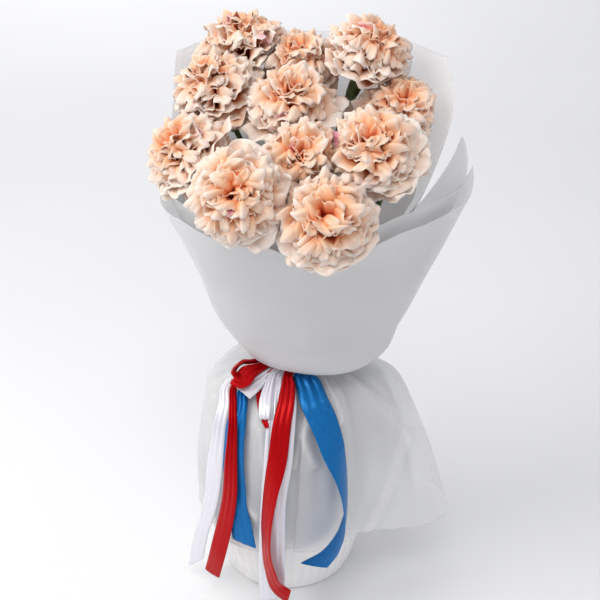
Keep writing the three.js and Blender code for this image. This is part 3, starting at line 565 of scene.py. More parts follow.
# %% Where each stem runs
TIE_AXIS = (12, 0)
TIE_LOW, TIE_HIGH = 226, 246
STEM_RADIUS = 2.3
STEM_SIDES = 14
FOOT_HEIGHT = 8.6  # just clear of the vase's floor
FOOT_AXIS_X = 4
FOOT_SPREAD = 3.6  # how much wider the stems stand at their feet than at the tie
INNER_SLOT, OUTER_SLOT = 3.8, 10.3  # how far the three middle and the eight outer stems are from the axis
CALYX_LENGTH = 25
CALYX_GAP = 0.3
HEAD_BASE = 0.55  # depth of a head's base below its centre, in radii
JOINT_AT = 0.57  # share of the way from the tie to the calyx
# Each stem's slot in the tie, in the order of the blooms: the ring it stands in, and its place there.
SLOTS = [("outer", 2), ("inner", 0), ("outer", 1), ("outer", 3), ("inner", 1), ("outer", 0), ("outer", 4),
         ("inner", 2), ("outer", 7), ("outer", 5), ("outer", 6)]


def tie_offset(ring, place):
    """Where a stem passes through the tie, from the tie's axis."""
    azimuth = math.radians(90 + 120 * place if ring == "inner" else 13 + 45 * place)
    distance = INNER_SLOT if ring == "inner" else OUTER_SLOT
    return np.array([distance * math.cos(azimuth), distance * math.sin(azimuth), 0.0])


def stem_line(flower, slot):
    """Foot, both ends of the tie, and the cubic curve from there to the calyx: its four control points."""
    centre, radius, facing = flower
    facing = unit(np.array(facing))
    offset = tie_offset(*slot)
    foot = np.array([FOOT_AXIS_X, 0, FOOT_HEIGHT]) + FOOT_SPREAD * offset
    low = np.array([*TIE_AXIS, TIE_LOW]) + offset
    high = np.array([*TIE_AXIS, TIE_HIGH]) + offset
    mouth = centre - facing * (HEAD_BASE * radius + CALYX_GAP)
    neck = mouth - facing * CALYX_LENGTH
    rise = neck[2] - high[2]
    return foot, low, [high, high + [0, 0, 0.3 * rise], neck - 0.28 * rise * facing, neck], mouth, facing


def bezier(control, share):
    """Points of a cubic Bezier curve: its control points weighted by Bernstein's polynomials of the share."""
    share = np.asarray(share, dtype=float)[:, None]
    rest = 1 - share
    a, b, c, d = control
    return a * rest**3 + 3 * b * share * rest**2 + 3 * c * share**2 * rest + d * share**3


# %% Tubes and blades
BLADE_GRID = (18, 12)  # rings along a leaf, and points round each


def tube(line, radii, sides, flutes=0, teeth=None):
    """A circle carried along a line, with closed ends. Each ring stands across the line. flutes waves the
    ring's radius by a share, five times round, and teeth pushes it along the line in five places."""
    tangent = unit(np.gradient(line, axis=0))
    side = unit(np.array([1.0, 0, 0]) - tangent * tangent[:, :1])
    other = np.cross(tangent, side)
    angle = full_turn(sides)
    radii = np.asarray(radii)[:, None] * (1 + np.asarray(flutes)[..., None] * np.cos(5 * angle))
    ring = side[:, None] * np.cos(angle)[:, None] + other[:, None] * np.sin(angle)[:, None]
    rings = line[:, None] + ring * radii[..., None]
    if teeth is not None:
        push = np.asarray(teeth)[:, None] * (0.5 + 0.5 * np.cos(5 * angle)) ** 2
        rings += tangent[:, None] * push[..., None]
    return capped_tube(rings, (line[0], line[-1]))


def blade(root, along, outward, length, width, curl, thickness=0.6):
    """A narrow pointed leaf, as a flattened tube: its middle line leaves along the stem and curls outwards
    with the square of its length, its width tapers to a point, and its section is a shallow V."""
    rows, sides = BLADE_GRID
    share = np.linspace(0, 1, rows)
    middle = root + np.outer(share * length, along) + np.outer(curl * share**2, outward)
    tangent = unit(np.gradient(middle, axis=0))
    across = unit(np.cross(along, outward))
    normal = np.cross(across, tangent)
    angle = full_turn(sides)
    half = 0.5 * width * (0.55 + 0.45 * np.sin(np.pi * np.minimum(share * 2, 1) / 2)) * (1 - share**2.2)
    flat = half[:, None] * np.cos(angle)
    thick = 0.5 * thickness * np.sin(angle) * (1 - 0.7 * share[:, None]) + 0.35 * np.abs(flat)
    rings = middle[:, None] + across * flat[..., None] + normal[:, None] * thick[..., None]
    return capped_tube(rings, (middle[0], middle[-1]))


# %% Grow every stem
LEAF = {"length": 30, "width": 5.5, "curl": 15}
BRACT = {"length": 8, "width": 6, "curl": 1.2}
LEAF_OUT, BRACT_OUT = 1.2, 3.1  # how far from the stem's and the calyx's middle they start
BRACT_TURN = (0.3, 0.9, 0.1)  # the first bract stands square to this and to the head's facing
STEM_ROWS = (24, 60)  # rings below the tie, and from there to the calyx
JOINT_SWELL, JOINT_REACH = 0.45, 0.018  # how much thicker a joint is, and how far it reaches, as shares
CALYX_RADIUS = [(-0.04, 2.2), (0.04, 3.3), (0.25, 5.0), (0.7, 5.9), (1, 6.6)]  # by share of its length
CALYX_GRID = (22, 30)
CALYX_RIBS, CALYX_TEETH = 0.035, 3.5  # how deep its ribs are, as a share, and how long its teeth


def make_stem(number, flower, slot):
    """A stem from its foot to its calyx, with the swollen joint, a pair of leaves and four bracts."""
    foot, low, curve, mouth, facing = stem_line(flower, slot)
    below, above = STEM_ROWS
    share = np.linspace(0, 1, above)
    line = np.concatenate([np.linspace(foot, low, below), bezier(curve, share)])
    swell = JOINT_SWELL * np.exp(-((share - JOINT_AT) / JOINT_REACH) ** 2)
    run = tube(line, STEM_RADIUS * (1 + np.concatenate([np.zeros(below), swell])), STEM_SIDES)
    rows, sides = CALYX_GRID
    up = np.linspace(CALYX_RADIUS[0][0], 1, rows)
    calyx = tube(curve[3] + np.outer(up, mouth - curve[3]), ramp(CALYX_RADIUS, up), sides,
                 flutes=CALYX_RIBS * up, teeth=CALYX_TEETH * smooth_step(0.8, 1, up))
    root = bezier(curve, [JOINT_AT, JOINT_AT + 0.01])
    along = unit(root[1] - root[0])
    outward = np.array([-root[0, 1], root[0, 0] - TIE_AXIS[0], 0])
    outward = unit(outward - along * (outward @ along))
    leaves = [blade(root[0] + way * LEAF_OUT * outward, along, way * outward, **LEAF) for way in (1, -1)]
    side = unit(np.cross(facing, BRACT_TURN))
    ways = [side, np.cross(facing, side), -side, -np.cross(facing, side)]
    bracts = [blade(curve[3] + BRACT_OUT * way, facing, way, **BRACT) for way in ways]
    piece = make_piece(f"stalk_{number:02d}", join(run, calyx, *leaves, *bracts), GREENERY_FINISH,
                       [f"stem_{number:02d}"], weld=True)
    return len(piece.data.polygons)


faces = [make_stem(k + 1, flower, slot) for k, (flower, slot) in enumerate(zip(FLOWERS, SLOTS))]
print("eleven stems with", sum(faces), "faces")

# %% [markdown]
# ## The vase and its water
#
# The vase is slip-cast ceramic, a barrel with soft upright flutes, dipped in a white glaze that pools in
# the grooves and thins over the ridges. A potter would throw or cast it from one profile, and so does this
# cell: the profile runs up the outside, over the lip and down the inside, and is carried round the axis.
# The flutes are a wave in the radius that dies away at the foot and the lip. Little of it shows under the
# film, only the foot.

# %% Glaze and water
def glaze_material():
    """White tin glaze: brilliant white, smooth and glossy, with the faint mottle of a dipped coat."""
    material, tree, shader = new_material("white_glaze", Roughness=0.18, IOR=1.52, Coat_Weight=0.3,
                                          Coat_Roughness=0.08)
    place = add_node(tree, "ShaderNodeTexCoord").outputs["Object"]
    mottle(tree, shader, place, 24.0, 3.0, [(0.3, "#f4f4f2"), (0.7, "#fbfbfa")], strength=0.1, depth=0.001)
    return material


def water_material():
    """Clear water with a trace of green from the stems: smooth, refracting, nearly colourless."""
    material, tree, shader = new_material("vase_water", Roughness=0.02, IOR=1.333, Transmission_Weight=0.9)
    place = add_node(tree, "ShaderNodeTexCoord").outputs["Object"]
    mottle(tree, shader, place, 12.0, stops=[(0.3, "#e3ede6"), (0.7, "#f0f5f2")])
    return material


GLAZE_FINISH = glaze_material()
WATER_FINISH = water_material()
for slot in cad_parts["water"].material_slots:
    slot.material = WATER_FINISH

# %% Throw the vase
VASE_HEIGHT = 190
MOUTH_RADIUS = 68
VASE_SIDE = [(0, 60), (14, 64), (60, 73), (120, 77), (VASE_HEIGHT, MOUTH_RADIUS)]  # height and radius outside
VASE_WALL = 6.5
VASE_FLOOR = 8
LIP_HEIGHT = 3  # how much of the wall's top is rounded
FOOT_OUTLINE = [(0, 0), (30, 0), (58.5, 0), (59.6, 0.8)]  # radius and height under the foot
FLUTES = 44
FLUTE_DEPTH = 1.1
POINTS_PER_FLUTE = 8


def make_vase():
    """The wall's outline carried round the axis. Rounded flutes: the radius dips by |cos| of the angle, so
    that ridges are full and grooves are narrow, and the dip fades out at the foot and under the lip."""
    top = VASE_HEIGHT - LIP_HEIGHT
    height = np.linspace(2.5, top, 60)
    outside = np.stack([ramp(VASE_SIDE, height), height], axis=1)
    turn = np.linspace(0, np.pi, 9)[1:]
    lip = np.stack([MOUTH_RADIUS - VASE_WALL / 2 + VASE_WALL / 2 * np.cos(turn),
                    top + LIP_HEIGHT * np.sin(turn)], axis=1)
    depth = np.linspace(top - 1, VASE_FLOOR + 0.01, 30)
    inside = np.stack([ramp(VASE_SIDE, depth) - VASE_WALL, depth], axis=1)
    outline = np.concatenate([FOOT_OUTLINE, outside, lip, inside, [[30, VASE_FLOOR], [0, VASE_FLOOR]]])
    angle = full_turn(FLUTES * POINTS_PER_FLUTE)
    fluted = np.zeros(len(outline))
    first = len(FOOT_OUTLINE)
    fluted[first:first + len(height)] = smooth_step(1, 12, height) * (1 - smooth_step(172, 184, height))
    dip = FLUTE_DEPTH * np.outer(fluted, 1 - np.abs(np.cos(angle * FLUTES / 2)) ** 0.8)
    radius = outline[:, :1] - dip
    points = np.stack([radius * np.cos(angle), radius * np.sin(angle), outline[:, 1:] + 0 * dip], axis=-1)
    surface = surface_of(points, angle / (2 * np.pi), np.linspace(0, 1, len(outline))[:, None], closed=True)
    return make_piece("fluted_vase", surface, GLAZE_FINISH, ["vase"], weld=True)


vase = make_vase()
print("vase with", FLUTES, "flutes and", len(vase.data.polygons), "faces")

# %% [markdown]
# ## The film
#
# Florists' frosted film is a thin matt plastic, milky and translucent: one layer veils what lies behind it,
# and several together look white. It comes off the roll in squares. Two sheets stand behind the blooms as a
# fan, are gathered to a waist under the ribbon, and fall round the vase as a skirt. A third is folded
# double, gathered at its fold, and turned up round the front as a collar.
#
# Cloth simulation would drape it in its own way and not in the photograph's, so each sheet is a surface of
# revolution about the bunch's axis with its own radius at each height, and the folds are added to that
# radius: broad pleats, tight gathers that fan out from the tie, and the flat facets and sharp creases that
# film takes.

# %% Film finish
FILM_THICKNESS = 0.15  # real film is thinner still; this keeps the two faces apart in the mesh


def film_material():
    """Frosted polypropylene film: milky white, translucent and matt. Along the skirt's sharp creases it hides
    more, which paints a pale highlight there, partly the real whitening of creased film.
    Every point's veil says how much it hides: a single loose layer hides little, and a doubled or gathered
    one more."""
    material, tree, shader = new_material("frosted_film", Roughness=0.42, IOR=1.49, Subsurface_Weight=0.2,
                                          Subsurface_Scale=0.004, Subsurface_Radius=(1.0, 1.0, 1.0))
    veil = add_node(tree, "ShaderNodeAttribute", {"attribute_name": "veil"})
    tree.links.new(veil.outputs["Fac"], shader.inputs["Alpha"])
    place = add_node(tree, "ShaderNodeTexCoord").outputs["Object"]
    mottle(tree, shader, place, 9.0, 5.0, [(0.3, "#f0f0f3"), (0.7, "#fbfbfc")])
    mottle(tree, shader, place, 60.0, 3.0, strength=0.15, depth=0.001)
    return material


FILM_FINISH = film_material()


# %% Creases
def facets(a, b, seed, scale, count=5):
    """Flat facets and sharp creases over a sheet: the mean of triangle waves that run in random directions
    over the sheet's own two coordinates, both in mm. The result lies between -1 and 1."""
    rng = np.random.default_rng(seed)
    total = 0
    for _ in range(count):
        way, phase, pitch = rng.uniform(0, np.pi), rng.uniform(0, 2 * np.pi), scale * rng.uniform(0.7, 1.5)
        total = total + np.arcsin(np.sin(2 * np.pi * (a * np.cos(way) + b * np.sin(way)) / pitch + phase))
    return total / (count * np.pi / 2)


def crease(a, b, start, end, half_width):
    """A tent of height 1 along the line from start to end on a sheet, in mm: it falls straight to 0 at
    half_width to either side of the line, and past its ends."""
    way = np.subtract(end, start)
    share = np.clip(((a - start[0]) * way[0] + (b - start[1]) * way[1]) / (way @ way), 0, 1)
    away = np.hypot(a - start[0] - share * way[0], b - start[1] - share * way[1])
    return np.maximum(0, 1 - away / half_width)


# %% The long sheets
# The depths in mm of the broad pleats, the gathers and the facets, as (height, depth) stops.
WRAP_PLEATS = [(64, 2), (188, 1.5), (226, 0), (246, 0), (290, 2), (430, 4)]
PLEATS_ROUND = 6
GATHERS = [(64, 0.2), (150, 0.8), (190, 1.6), (212, 1.6), (226, 0.3), (246, 0.3), (262, 1.6),
           (300, 1.4), (400, 0.3)]
GATHERS_ROUND = 23
CRUMPLE = [(64, 1.5), (188, 1.2), (226, 0), (246, 0), (290, 0.6), (473, 0.8)]
CRUMPLE_SIZE = 70
SHEET_POINTS = (150, 200)
# The skirt's free corner hangs out and down at the right, and is sheerer: it stands off the layer under it.
FLAP_AZIMUTH, FLAP_HALF_WIDTH, FLAP_DROP = 10, 55, 50
FLAP_REACH = [(64, 70), (150, 38), (188, 24), (212, 0)]
FLAP_SHEER = 0.26
# Single creases of the skirt, in mm and degrees: both ends as (azimuth, height), half-width, and how far
# the crease stands out.
SKIRT_CREASES = [((327, 214), (348, 150), 9, 6), ((332, 212), (344, 176), 7, 4),
                 ((345, 150), (323, 62), 9, 4), ((275, 155), (279, 185), 8, 4),
                 ((279, 185), (287, 157), 8, 4), ((195, 207), (209, 200), 7, 4),
                 ((245, 118), (254, 104), 8, 4), ((303, 218), (306, 190), 7, 4),
                 ((255, 190), (262, 120), 10, 3)]
SKIRT_RADIUS = 80  # the skirt's mean radius, by which an azimuth becomes a distance on the sheet
FILM_VEIL = [(64, 0.42), (188, 0.44), (226, 0.42), (246, 0.42), (290, 0.36), (473, 0.34)]
# A whiter sharp crease is partly the real whitening of creased film and partly a painted highlight.
CREASE_WHITENING_AND_HIGHLIGHT = 0.25  # how much more a sharp crease hides than flat film does
# The skirt clings to the vase on its left: how far in mm by height, around which azimuth, and how much more
# the film hides there, below the tie.
CLING = [(64, 4), (120, 5), (170, 8), (204, 5), (216, 0)]
CLING_AZIMUTH, CLING_HALF_WIDTH = 185, 75
CLING_WHITE = 0.2


def wrap_rows(top):
    """Heights of a long sheet's rows, at even steps along its profile from the hem to the top."""
    height = np.linspace(WRAP_RADIUS[0][0], top, 2000)
    steps = np.hypot(np.diff(height), np.diff(ramp(WRAP_RADIUS, height)))
    run = np.concatenate([[0], np.cumsum(steps)])
    return np.interp(np.linspace(0, run[-1], SHEET_POINTS[0]), run, height)


def make_wrap(name, node, inset, waist, top, left_edge, right_edge, flap):
    """A full-length sheet. Each point's azimuth lies between the two edges, and its radius is the mean one
    with the pleats, gathers, facets and creases added, narrowed to the waist at the tie."""
    height = wrap_rows(top)[:, None]
    share = np.linspace(0, 1, SHEET_POINTS[1])[None, :]
    azimuth = ramp(left_edge, height) * (1 - share) + ramp(right_edge, height) * share
    turn = np.radians(azimuth)
    mean = ramp(WRAP_RADIUS, height)
    inside = inset * np.interp(height, [TIE_HIGH, 370], [1, 1.4])
    at_tie = smooth_step(12, 30, mean)
    folds = ramp(WRAP_PLEATS, height) * np.cos(PLEATS_ROUND * turn)
    folds = folds + ramp(GATHERS, height) * np.cos(GATHERS_ROUND * turn + 0.6 * np.sin(5 * turn))
    folds = folds + ramp(CRUMPLE, height) * facets(mean * turn, height, seed=4, scale=CRUMPLE_SIZE)
    # The narrow core of each skirt crease is made more opaque: a painted highlight along the crease, partly
    # the real whitening of creased film.
    crease_whitening_and_highlight = 0 * folds
    around = SKIRT_RADIUS * (turn % (2 * np.pi))
    for (first, first_height), (last, last_height), half_width, depth in SKIRT_CREASES:
        ends = ((SKIRT_RADIUS * np.radians(first), first_height),
                (SKIRT_RADIUS * np.radians(last), last_height))
        folds = folds + depth * crease(around, height, *ends, half_width)
        crease_whitening_and_highlight = np.maximum(crease_whitening_and_highlight, crease(around, height, *ends, 0.5 * half_width))
    corner = flap * bump(azimuth, FLAP_AZIMUTH, FLAP_HALF_WIDTH)
    clinging = bump(azimuth, CLING_AZIMUTH, CLING_HALF_WIDTH)
    hung = mean - inside + folds + corner * ramp(FLAP_REACH, height) - ramp(CLING, height) * clinging
    out = waist * (1 - at_tie) + hung * at_tie
    below = np.maximum(0, (TIE_LOW - height) / TIE_LOW)
    z = height - corner * FLAP_DROP * below**2
    axis_x = np.interp(height, *np.array(WRAP_AXIS).T)
    points = np.stack([axis_x + out * np.cos(turn), out * np.sin(turn), z + 0 * out], axis=-1)
    points, faces, uv = surface_of(points, share, (height - height[0]) / (top - height[0]))
    veil = (ramp(FILM_VEIL, height) - FLAP_SHEER * corner * smooth_step(200, 120, height)
            + CREASE_WHITENING_AND_HIGHLIGHT * crease_whitening_and_highlight + CLING_WHITE * smooth_step(216, 190, height) * clinging)
    piece = make_piece(name, (points, faces[:, ::-1], uv), FILM_FINISH, [node], {"veil": veil})
    return thicken(piece, FILM_THICKNESS)


outer_sheet = make_wrap(
    "film_sheet_outer", "film_outer", inset=0, waist=15.0, top=473, flap=1,
    left_edge=[(64, 268), (246, 262), (290, 232), (370, 192), (430, 165), (473, 153)],
    right_edge=[(64, -86), (246, -76), (290, -40), (370, -18), (430, -2), (473, 18)])
inner_sheet = make_wrap(
    "film_sheet_inner", "film_inner", inset=3.8, waist=13.7, top=462, flap=0.6,
    left_edge=[(64, 250), (246, 248), (290, 215), (370, 176), (430, 150), (473, 140)],
    right_edge=[(64, -96), (246, -90), (290, -50), (370, 0), (405, 36), (473, 36)])
for sheet in (outer_sheet, inner_sheet):
    print(sheet.name, "has", len(sheet.data.polygons), "faces and", area_of(sheet), "square metres")

# %% The collar
# Stops of its profile, from the gathers over the turn to the rim: height, the axis's x, and the ellipse's
# half-width and half-depths to the front and the back.
COLLAR_STOPS = [(227, 12, 17.6, 17.6, 17.6), (243, 12, 17.6, 17.6, 17.6), (250, 18, 36, 30, 30),
                (238, 22, 49, 42, 42), (230, 26, 56, 51, 51), (257, 21, 76, 62, 62),
                (315, 22, 100, 80, 88), (376, 22, 126, 101, 115)]
COLLAR_POINTS = (95, 220)
COLLAR_VEIL = 0.52
COLLAR_GAP = 20  # degrees left open at the back
COLLAR_FOLDS = 5
COLLAR_GATHERS = 31
COLLAR_DIPS = [(270, 34, 17), (236, 20, 8), (12, 26, -26)]  # of its rim: azimuth, half-width and depth
TIE_RADIUS = COLLAR_STOPS[0][2]


def collar_layer(inward, rise, right_end):
    """One layer of the collar: an ellipse at each step of its profile, with its folds and gathers added. It
    lies inward of the other layer, its rim stands higher by rise, and it ends at the azimuth right_end."""
    profile = spline(COLLAR_STOPS, COLLAR_POINTS[0])
    low = np.argmin(np.where(profile[:, 2] > 40, profile[:, 0], np.inf))
    share = np.clip((np.arange(len(profile)) - low) / (len(profile) - 1 - low), 0, 1)[:, None]
    height, axis_x, wide, front, back = (profile[:, [k]] for k in range(5))
    across = np.linspace(0, 1, COLLAR_POINTS[1])[None, :]
    start, full_end = 90 + COLLAR_GAP / 2, 450 - COLLAR_GAP / 2
    azimuth = start * (1 - across) + (full_end + (right_end - full_end) * smooth_step(0.1, 1, share)) * across
    turn = np.radians(azimuth)
    depth = np.where(np.sin(turn) > 0, back, front)
    gathered = smooth_step(18, 34, wide) * (1 - smooth_step(40, 60, wide))
    folds = (1 + 2.5 * share) * np.cos(COLLAR_FOLDS * turn)
    folds = folds + 2.0 * gathered * np.cos(COLLAR_GATHERS * turn + 0.5 * np.sin(7 * turn))
    folds = folds + 1.4 * smooth_step(54, 90, wide) * facets(100 * turn, 200 * share, seed=9, scale=120)
    free = smooth_step(TIE_RADIUS, 34, wide)
    pull = inward * (0.3 + 2 * share) * free + 1.3 * (inward > 0) * (1 - free)
    x = axis_x + (wide - pull + folds * free) * np.cos(turn)
    y = (depth - pull + folds * free) * np.sin(turn)
    dip = sum(down * bump(azimuth, centre, half_width) for centre, half_width, down in COLLAR_DIPS)
    lift = inward * free * (1 - smooth_step(0, 0.2, share)) + rise * share**2
    z = height + lift - dip * share**3
    return np.stack([x, y, z + 0 * x], axis=-1)


def make_collar():
    """Both layers as one sheet, folded at the gathers: down the inner layer and up the outer one."""
    inner = collar_layer(inward=2.4, rise=11, right_end=370)
    outer = collar_layer(inward=0, rise=0, right_end=362)
    points = np.concatenate([inner[::-1], outer])
    rows, columns, _ = points.shape
    surface = surface_of(points, np.linspace(0, 1, columns), np.linspace(0, 1, rows)[:, None])
    veil = {"veil": np.full((rows, columns), COLLAR_VEIL)}
    return thicken(make_piece("film_sheet_collar", surface, FILM_FINISH, ["film_collar"], veil),
                   FILM_THICKNESS)


collar = make_collar()
print(collar.name, "has", len(collar.data.polygons), "faces and", area_of(collar), "square metres")

# %% [markdown]
# ## The ribbons
#
# Three double-faced satin ribbons go round the tie, one above the other, and each is knotted at the front.
# Red and white are 16 mm wide and blue is 25 mm. A ribbon keeps its width but can turn, so a run is a line
# with the ribbon's width laid across it. Where it passes through the knot it is pleated: its section
# becomes a zigzag that is narrower by as much as the zigzag is deep, so the cloth keeps its width. The
# tails fall over the skirt, the right blue one turns over as it falls, and a red and a white bow and a
# white loop stand out at the left.

# %% Satin finish
def satin_material(name, colours, shine):
    """Polyester satin: long floats of smooth dyed thread lie along the ribbon, so it shines in broad soft
    streaks in its own colour. The threads are drawn coarser than they are, as fine as a render can show."""
    material, tree, shader = new_material(name, Roughness=0.3, IOR=1.5, Metallic=0.25, Anisotropic=0.5,
                                          Specular_Tint=linear(shine))
    place = add_node(tree, "ShaderNodeUVMap", {"uv_map": "UVMap"})
    threads = add_node(tree, "ShaderNodeMapping", inputs={"Vector": place.outputs["UV"], "Scale": (40, 3, 1)})
    mottle(tree, shader, threads.outputs["Vector"], 1.0, 3.0, [(0.25, colours[0]), (0.75, colours[1])],
           strength=0.15, depth=0.0002)
    return material


SATIN = {
    "red": satin_material("satin_red", ("#a2000a", "#be000d"), "#ff8a7c"),
    "white": satin_material("satin_white", ("#e0dfe9", "#eeedf4"), "#ffffff"),
    "blue": satin_material("satin_blue", ("#0c5c9e", "#1878bf"), "#a5dcff"),
}

# %% Where the ribbons run
# A tail's stops are x, y, z and width in mm, and the degrees by which it is turned out of the wrap's face.
# A loop's are x, y, z, width and the direction that its width lies in. cuts are how far the tails' left
# edges outrun their right edges at the cut ends, in mm.
RIBBONS = {
    "red": {"ring": 240, "knot": 10, "width": 16, "cuts": [2, 10], "tails": [
        [(9, -23, 239, 7, 0), (-8, -29, 232, 7, 0), (-24, -33, 224, 7, 0), (-36, -38, 218, 7, 0),
         (-44, -43, 212.5, 7, 0), (-45, -58, 205, 7, 0), (-45, -70, 194, 8, 0), (-47, -80, 163, 12, 0),
         (-49, -84, 127, 15, 0), (-56, -83, 86, 16, -12), (-61, -81, 63, 16, -20), (-68, -74, 31, 16, -26)],
        [(12, -23, 239, 7, 0), (7, -33, 229.5, 7.5, 0), (1.5, -43, 224, 8, 0), (1.5, -53, 219.5, 12, 0),
         (0, -68, 211.5, 14, 0), (-3, -79, 200, 15, 0), (-7, -91, 171, 16, 0), (-14, -98, 138, 16, 30),
         (-18, -102, 102, 16, 46), (-18, -102, 82, 16, 54), (-15, -103, 61, 16, 52), (-8, -103, 40, 16, 48),
         (2, -103, 30, 16, 48)]],
        "loops": [
        [(5, -26, 236, 7, 0.1, -0.5, -0.85), (-9, -28, 230.5, 5, 0.3, -0.6, -0.7),
         (-19, -33, 226.5, 7, 0.5, -0.75, -0.4), (-24, -37, 227, 10, 0.5, -0.75, -0.4),
         (-31, -44, 227.5, 15, 0.5, -0.75, -0.4), (-39, -51.5, 224, 16, 0.5, -0.75, -0.4),
         (-43.5, -50, 226, 12, 0.45, -0.6, -0.65), (-44, -45, 228, 8, 0.1, 0, -1),
         (-41, -38, 229.5, 7, -0.3, 0.5, -0.8), (-37, -32, 229.5, 5, -0.3, 0.5, -0.8),
         (-30.5, -26.5, 226.5, 4, -0.2, 0.4, -0.9), (-18, -22, 227.5, 4, 0, 0, -1),
         (2, -22, 237, 5, 0, 0, -1)],
        [(6, -26, 233, 5, 1, 0, 0), (-6, -33, 227, 4, 1, 0, 0), (-15, -39, 221, 3.5, 1, 0, 0),
         (-21, -46.5, 216.5, 5, 1, 0, 0), (-23, -55.5, 212.5, 3.5, 1, 0, 0),
         (-22.5, -65, 206.5, 2.5, 1, 0, 0), (-20, -71.5, 201, 3.5, 1, 0, 0),
         (-16.5, -76.5, 196.5, 4.5, 1, 0, 0), (-15.5, -79, 194, 3, 1, 0, 0)]]},
    "white": {"ring": 234, "knot": 12, "width": 16, "cuts": [22, 6, -4], "tails": [
        [(8, -21, 233, 7, 0), (-10, -21, 227, 7, 0), (-26, -24, 221, 8, 0), (-42, -30, 214, 9, 0),
         (-52, -37, 207.5, 10, 0), (-53, -50, 199, 12.5, -5), (-56, -60, 187, 13.5, -8),
         (-61, -67, 153, 16, -12), (-66, -69, 115, 16, -15), (-71, -65, 91, 16, -18),
         (-78, -54, 60, 16, -24), (-83, -50, 35, 16, -26), (-85, -49, 22, 16, -26)],
        [(10, -21, 233, 7, 0), (3, -30, 226.5, 7, 0), (-6, -40, 220.5, 8, 0), (-8, -53, 215.5, 10, 0),
         (-9, -65, 209, 12, 0), (-10, -79, 192, 14, 0), (-11.5, -87.5, 157, 16, 0),
         (-14.5, -91.5, 118, 16, 0), (-17, -91.5, 60, 16, 0), (-17, -90, 14, 16, 0)],
        [(14, -21, 233, 7, 0), (11, -29, 230, 7, 0), (3, -41, 221.5, 6, 0), (4, -54, 216, 8, 0),
         (3, -66, 210, 12, 0), (0.5, -78, 197, 15, 0), (-2.5, -88.5, 168, 16, 0), (-7.5, -91.5, 132, 16, 0),
         (-9, -93.5, 80, 16, 0), (-9.5, -92.5, 29, 16, 0)]],
        "loops": [
        [(6, -24, 230, 7, 0.1, -0.5, -0.85), (-8, -33, 223.5, 8, 0.3, -0.6, -0.7),
         (-20, -43, 220, 12, 0.5, -0.75, -0.4), (-30, -52, 217.5, 16, 0.5, -0.75, -0.4),
         (-36, -58, 215, 16, 0.5, -0.75, -0.4)],
        [(8, -22, 233, 7, 1, 0, 0), (-3, -32, 227, 6, 1, 0, 0), (-11, -39, 223, 6, 1, 0, 0),
         (-13.5, -47, 219.5, 7, 1, 0, 0), (-15.5, -56, 216, 9, 1, 0, 0), (-17, -65, 212, 10, 1, 0, 0),
         (-17.5, -72, 207, 10, 1, 0, 0), (-17.5, -76, 201.5, 9, 1, 0, 0), (-17, -74, 199, 9, 1, 0, 0),
         (-17, -70, 205, 9, 1, 0, 0), (-15, -56, 213, 8, 1, 0, 0), (-11, -44, 218, 6, 1, 0, 0),
         (8, -23, 232, 7, 1, 0, 0)]]},
    "blue": {"ring": 228.3, "knot": 14, "width": 25, "cuts": [-10, -22], "tails": [
        [(10, -20, 228, 7, 0), (-6, -27, 221.5, 9, 0), (-20, -38, 216.5, 10, 0), (-38, -52, 209.5, 10.5, 0),
         (-38, -59, 204.5, 11, 0), (-42, -69, 193, 18, 0), (-44, -74, 177, 19, 0), (-45, -78, 158, 20, 0),
         (-44, -81, 133, 20, 0), (-43, -84, 112, 20, 0), (-40, -85.5, 97, 20, 0), (-37, -87, 77, 20, 0)],
        [(17, -20, 228, 7, 0), (18, -31, 223.5, 13, 0), (16, -41, 222, 18, 0), (20, -51, 217, 22, 0),
         (25, -66, 209, 24.5, 0), (32, -74, 196, 25, 0), (35, -77, 189, 25, -3), (41, -83, 172, 25, -12),
         (47, -87, 154, 25, -32), (51, -91, 132, 25, -50), (51, -95, 111, 25, -66), (47, -97, 92, 25, -88),
         (37, -100, 75, 25, -112), (24, -103, 66, 25, -126)]],
        "loops": []},
}
RIBBON_THICKNESS = 0.3
RING_RADIUS = 19.2
RING_HEIGHT = 4.4
KNOT_LENGTH = 10
KNOT_OUT = 3  # how far a knot's middle stands out from its ring
KNOT_DEPTH, KNOT_HEIGHT = 3.4, 2.9  # half its thickness and half its height
RIBBON_POINTS = (120, 17)
PLEATS = 3  # zigzags across a ribbon where it is gathered
CUT_ROWS = 14  # rows before a tail's end over which its cut grows slanted


# %% A ribbon's run
def square_to(vectors, along):
    """The part of each vector that is square to the direction beside it, at length 1."""
    return unit(vectors - along * np.sum(vectors * along, axis=1, keepdims=True))


def tail_across(line, tangent):
    """Which way a tail's width lies. Its face looks out from the bunch's axis and up as much, square to its
    line, and is turned about the line by the degrees of its stops."""
    axis_x = np.interp(line[:, 2], *np.array(WRAP_AXIS).T)
    outward = unit(np.stack([line[:, 0] - axis_x, line[:, 1], 0 * axis_x], axis=1))
    face = square_to(outward + [0, 0, 1], tangent)
    turn = np.radians(line[:, 4:5])
    return np.cross(face, tangent) * np.cos(turn) + face * np.sin(turn)


def loop_across(line, tangent):
    """Which way a loop's width lies: the direction of its stops, made square to its line."""
    return square_to(line[:, 4:7], tangent)


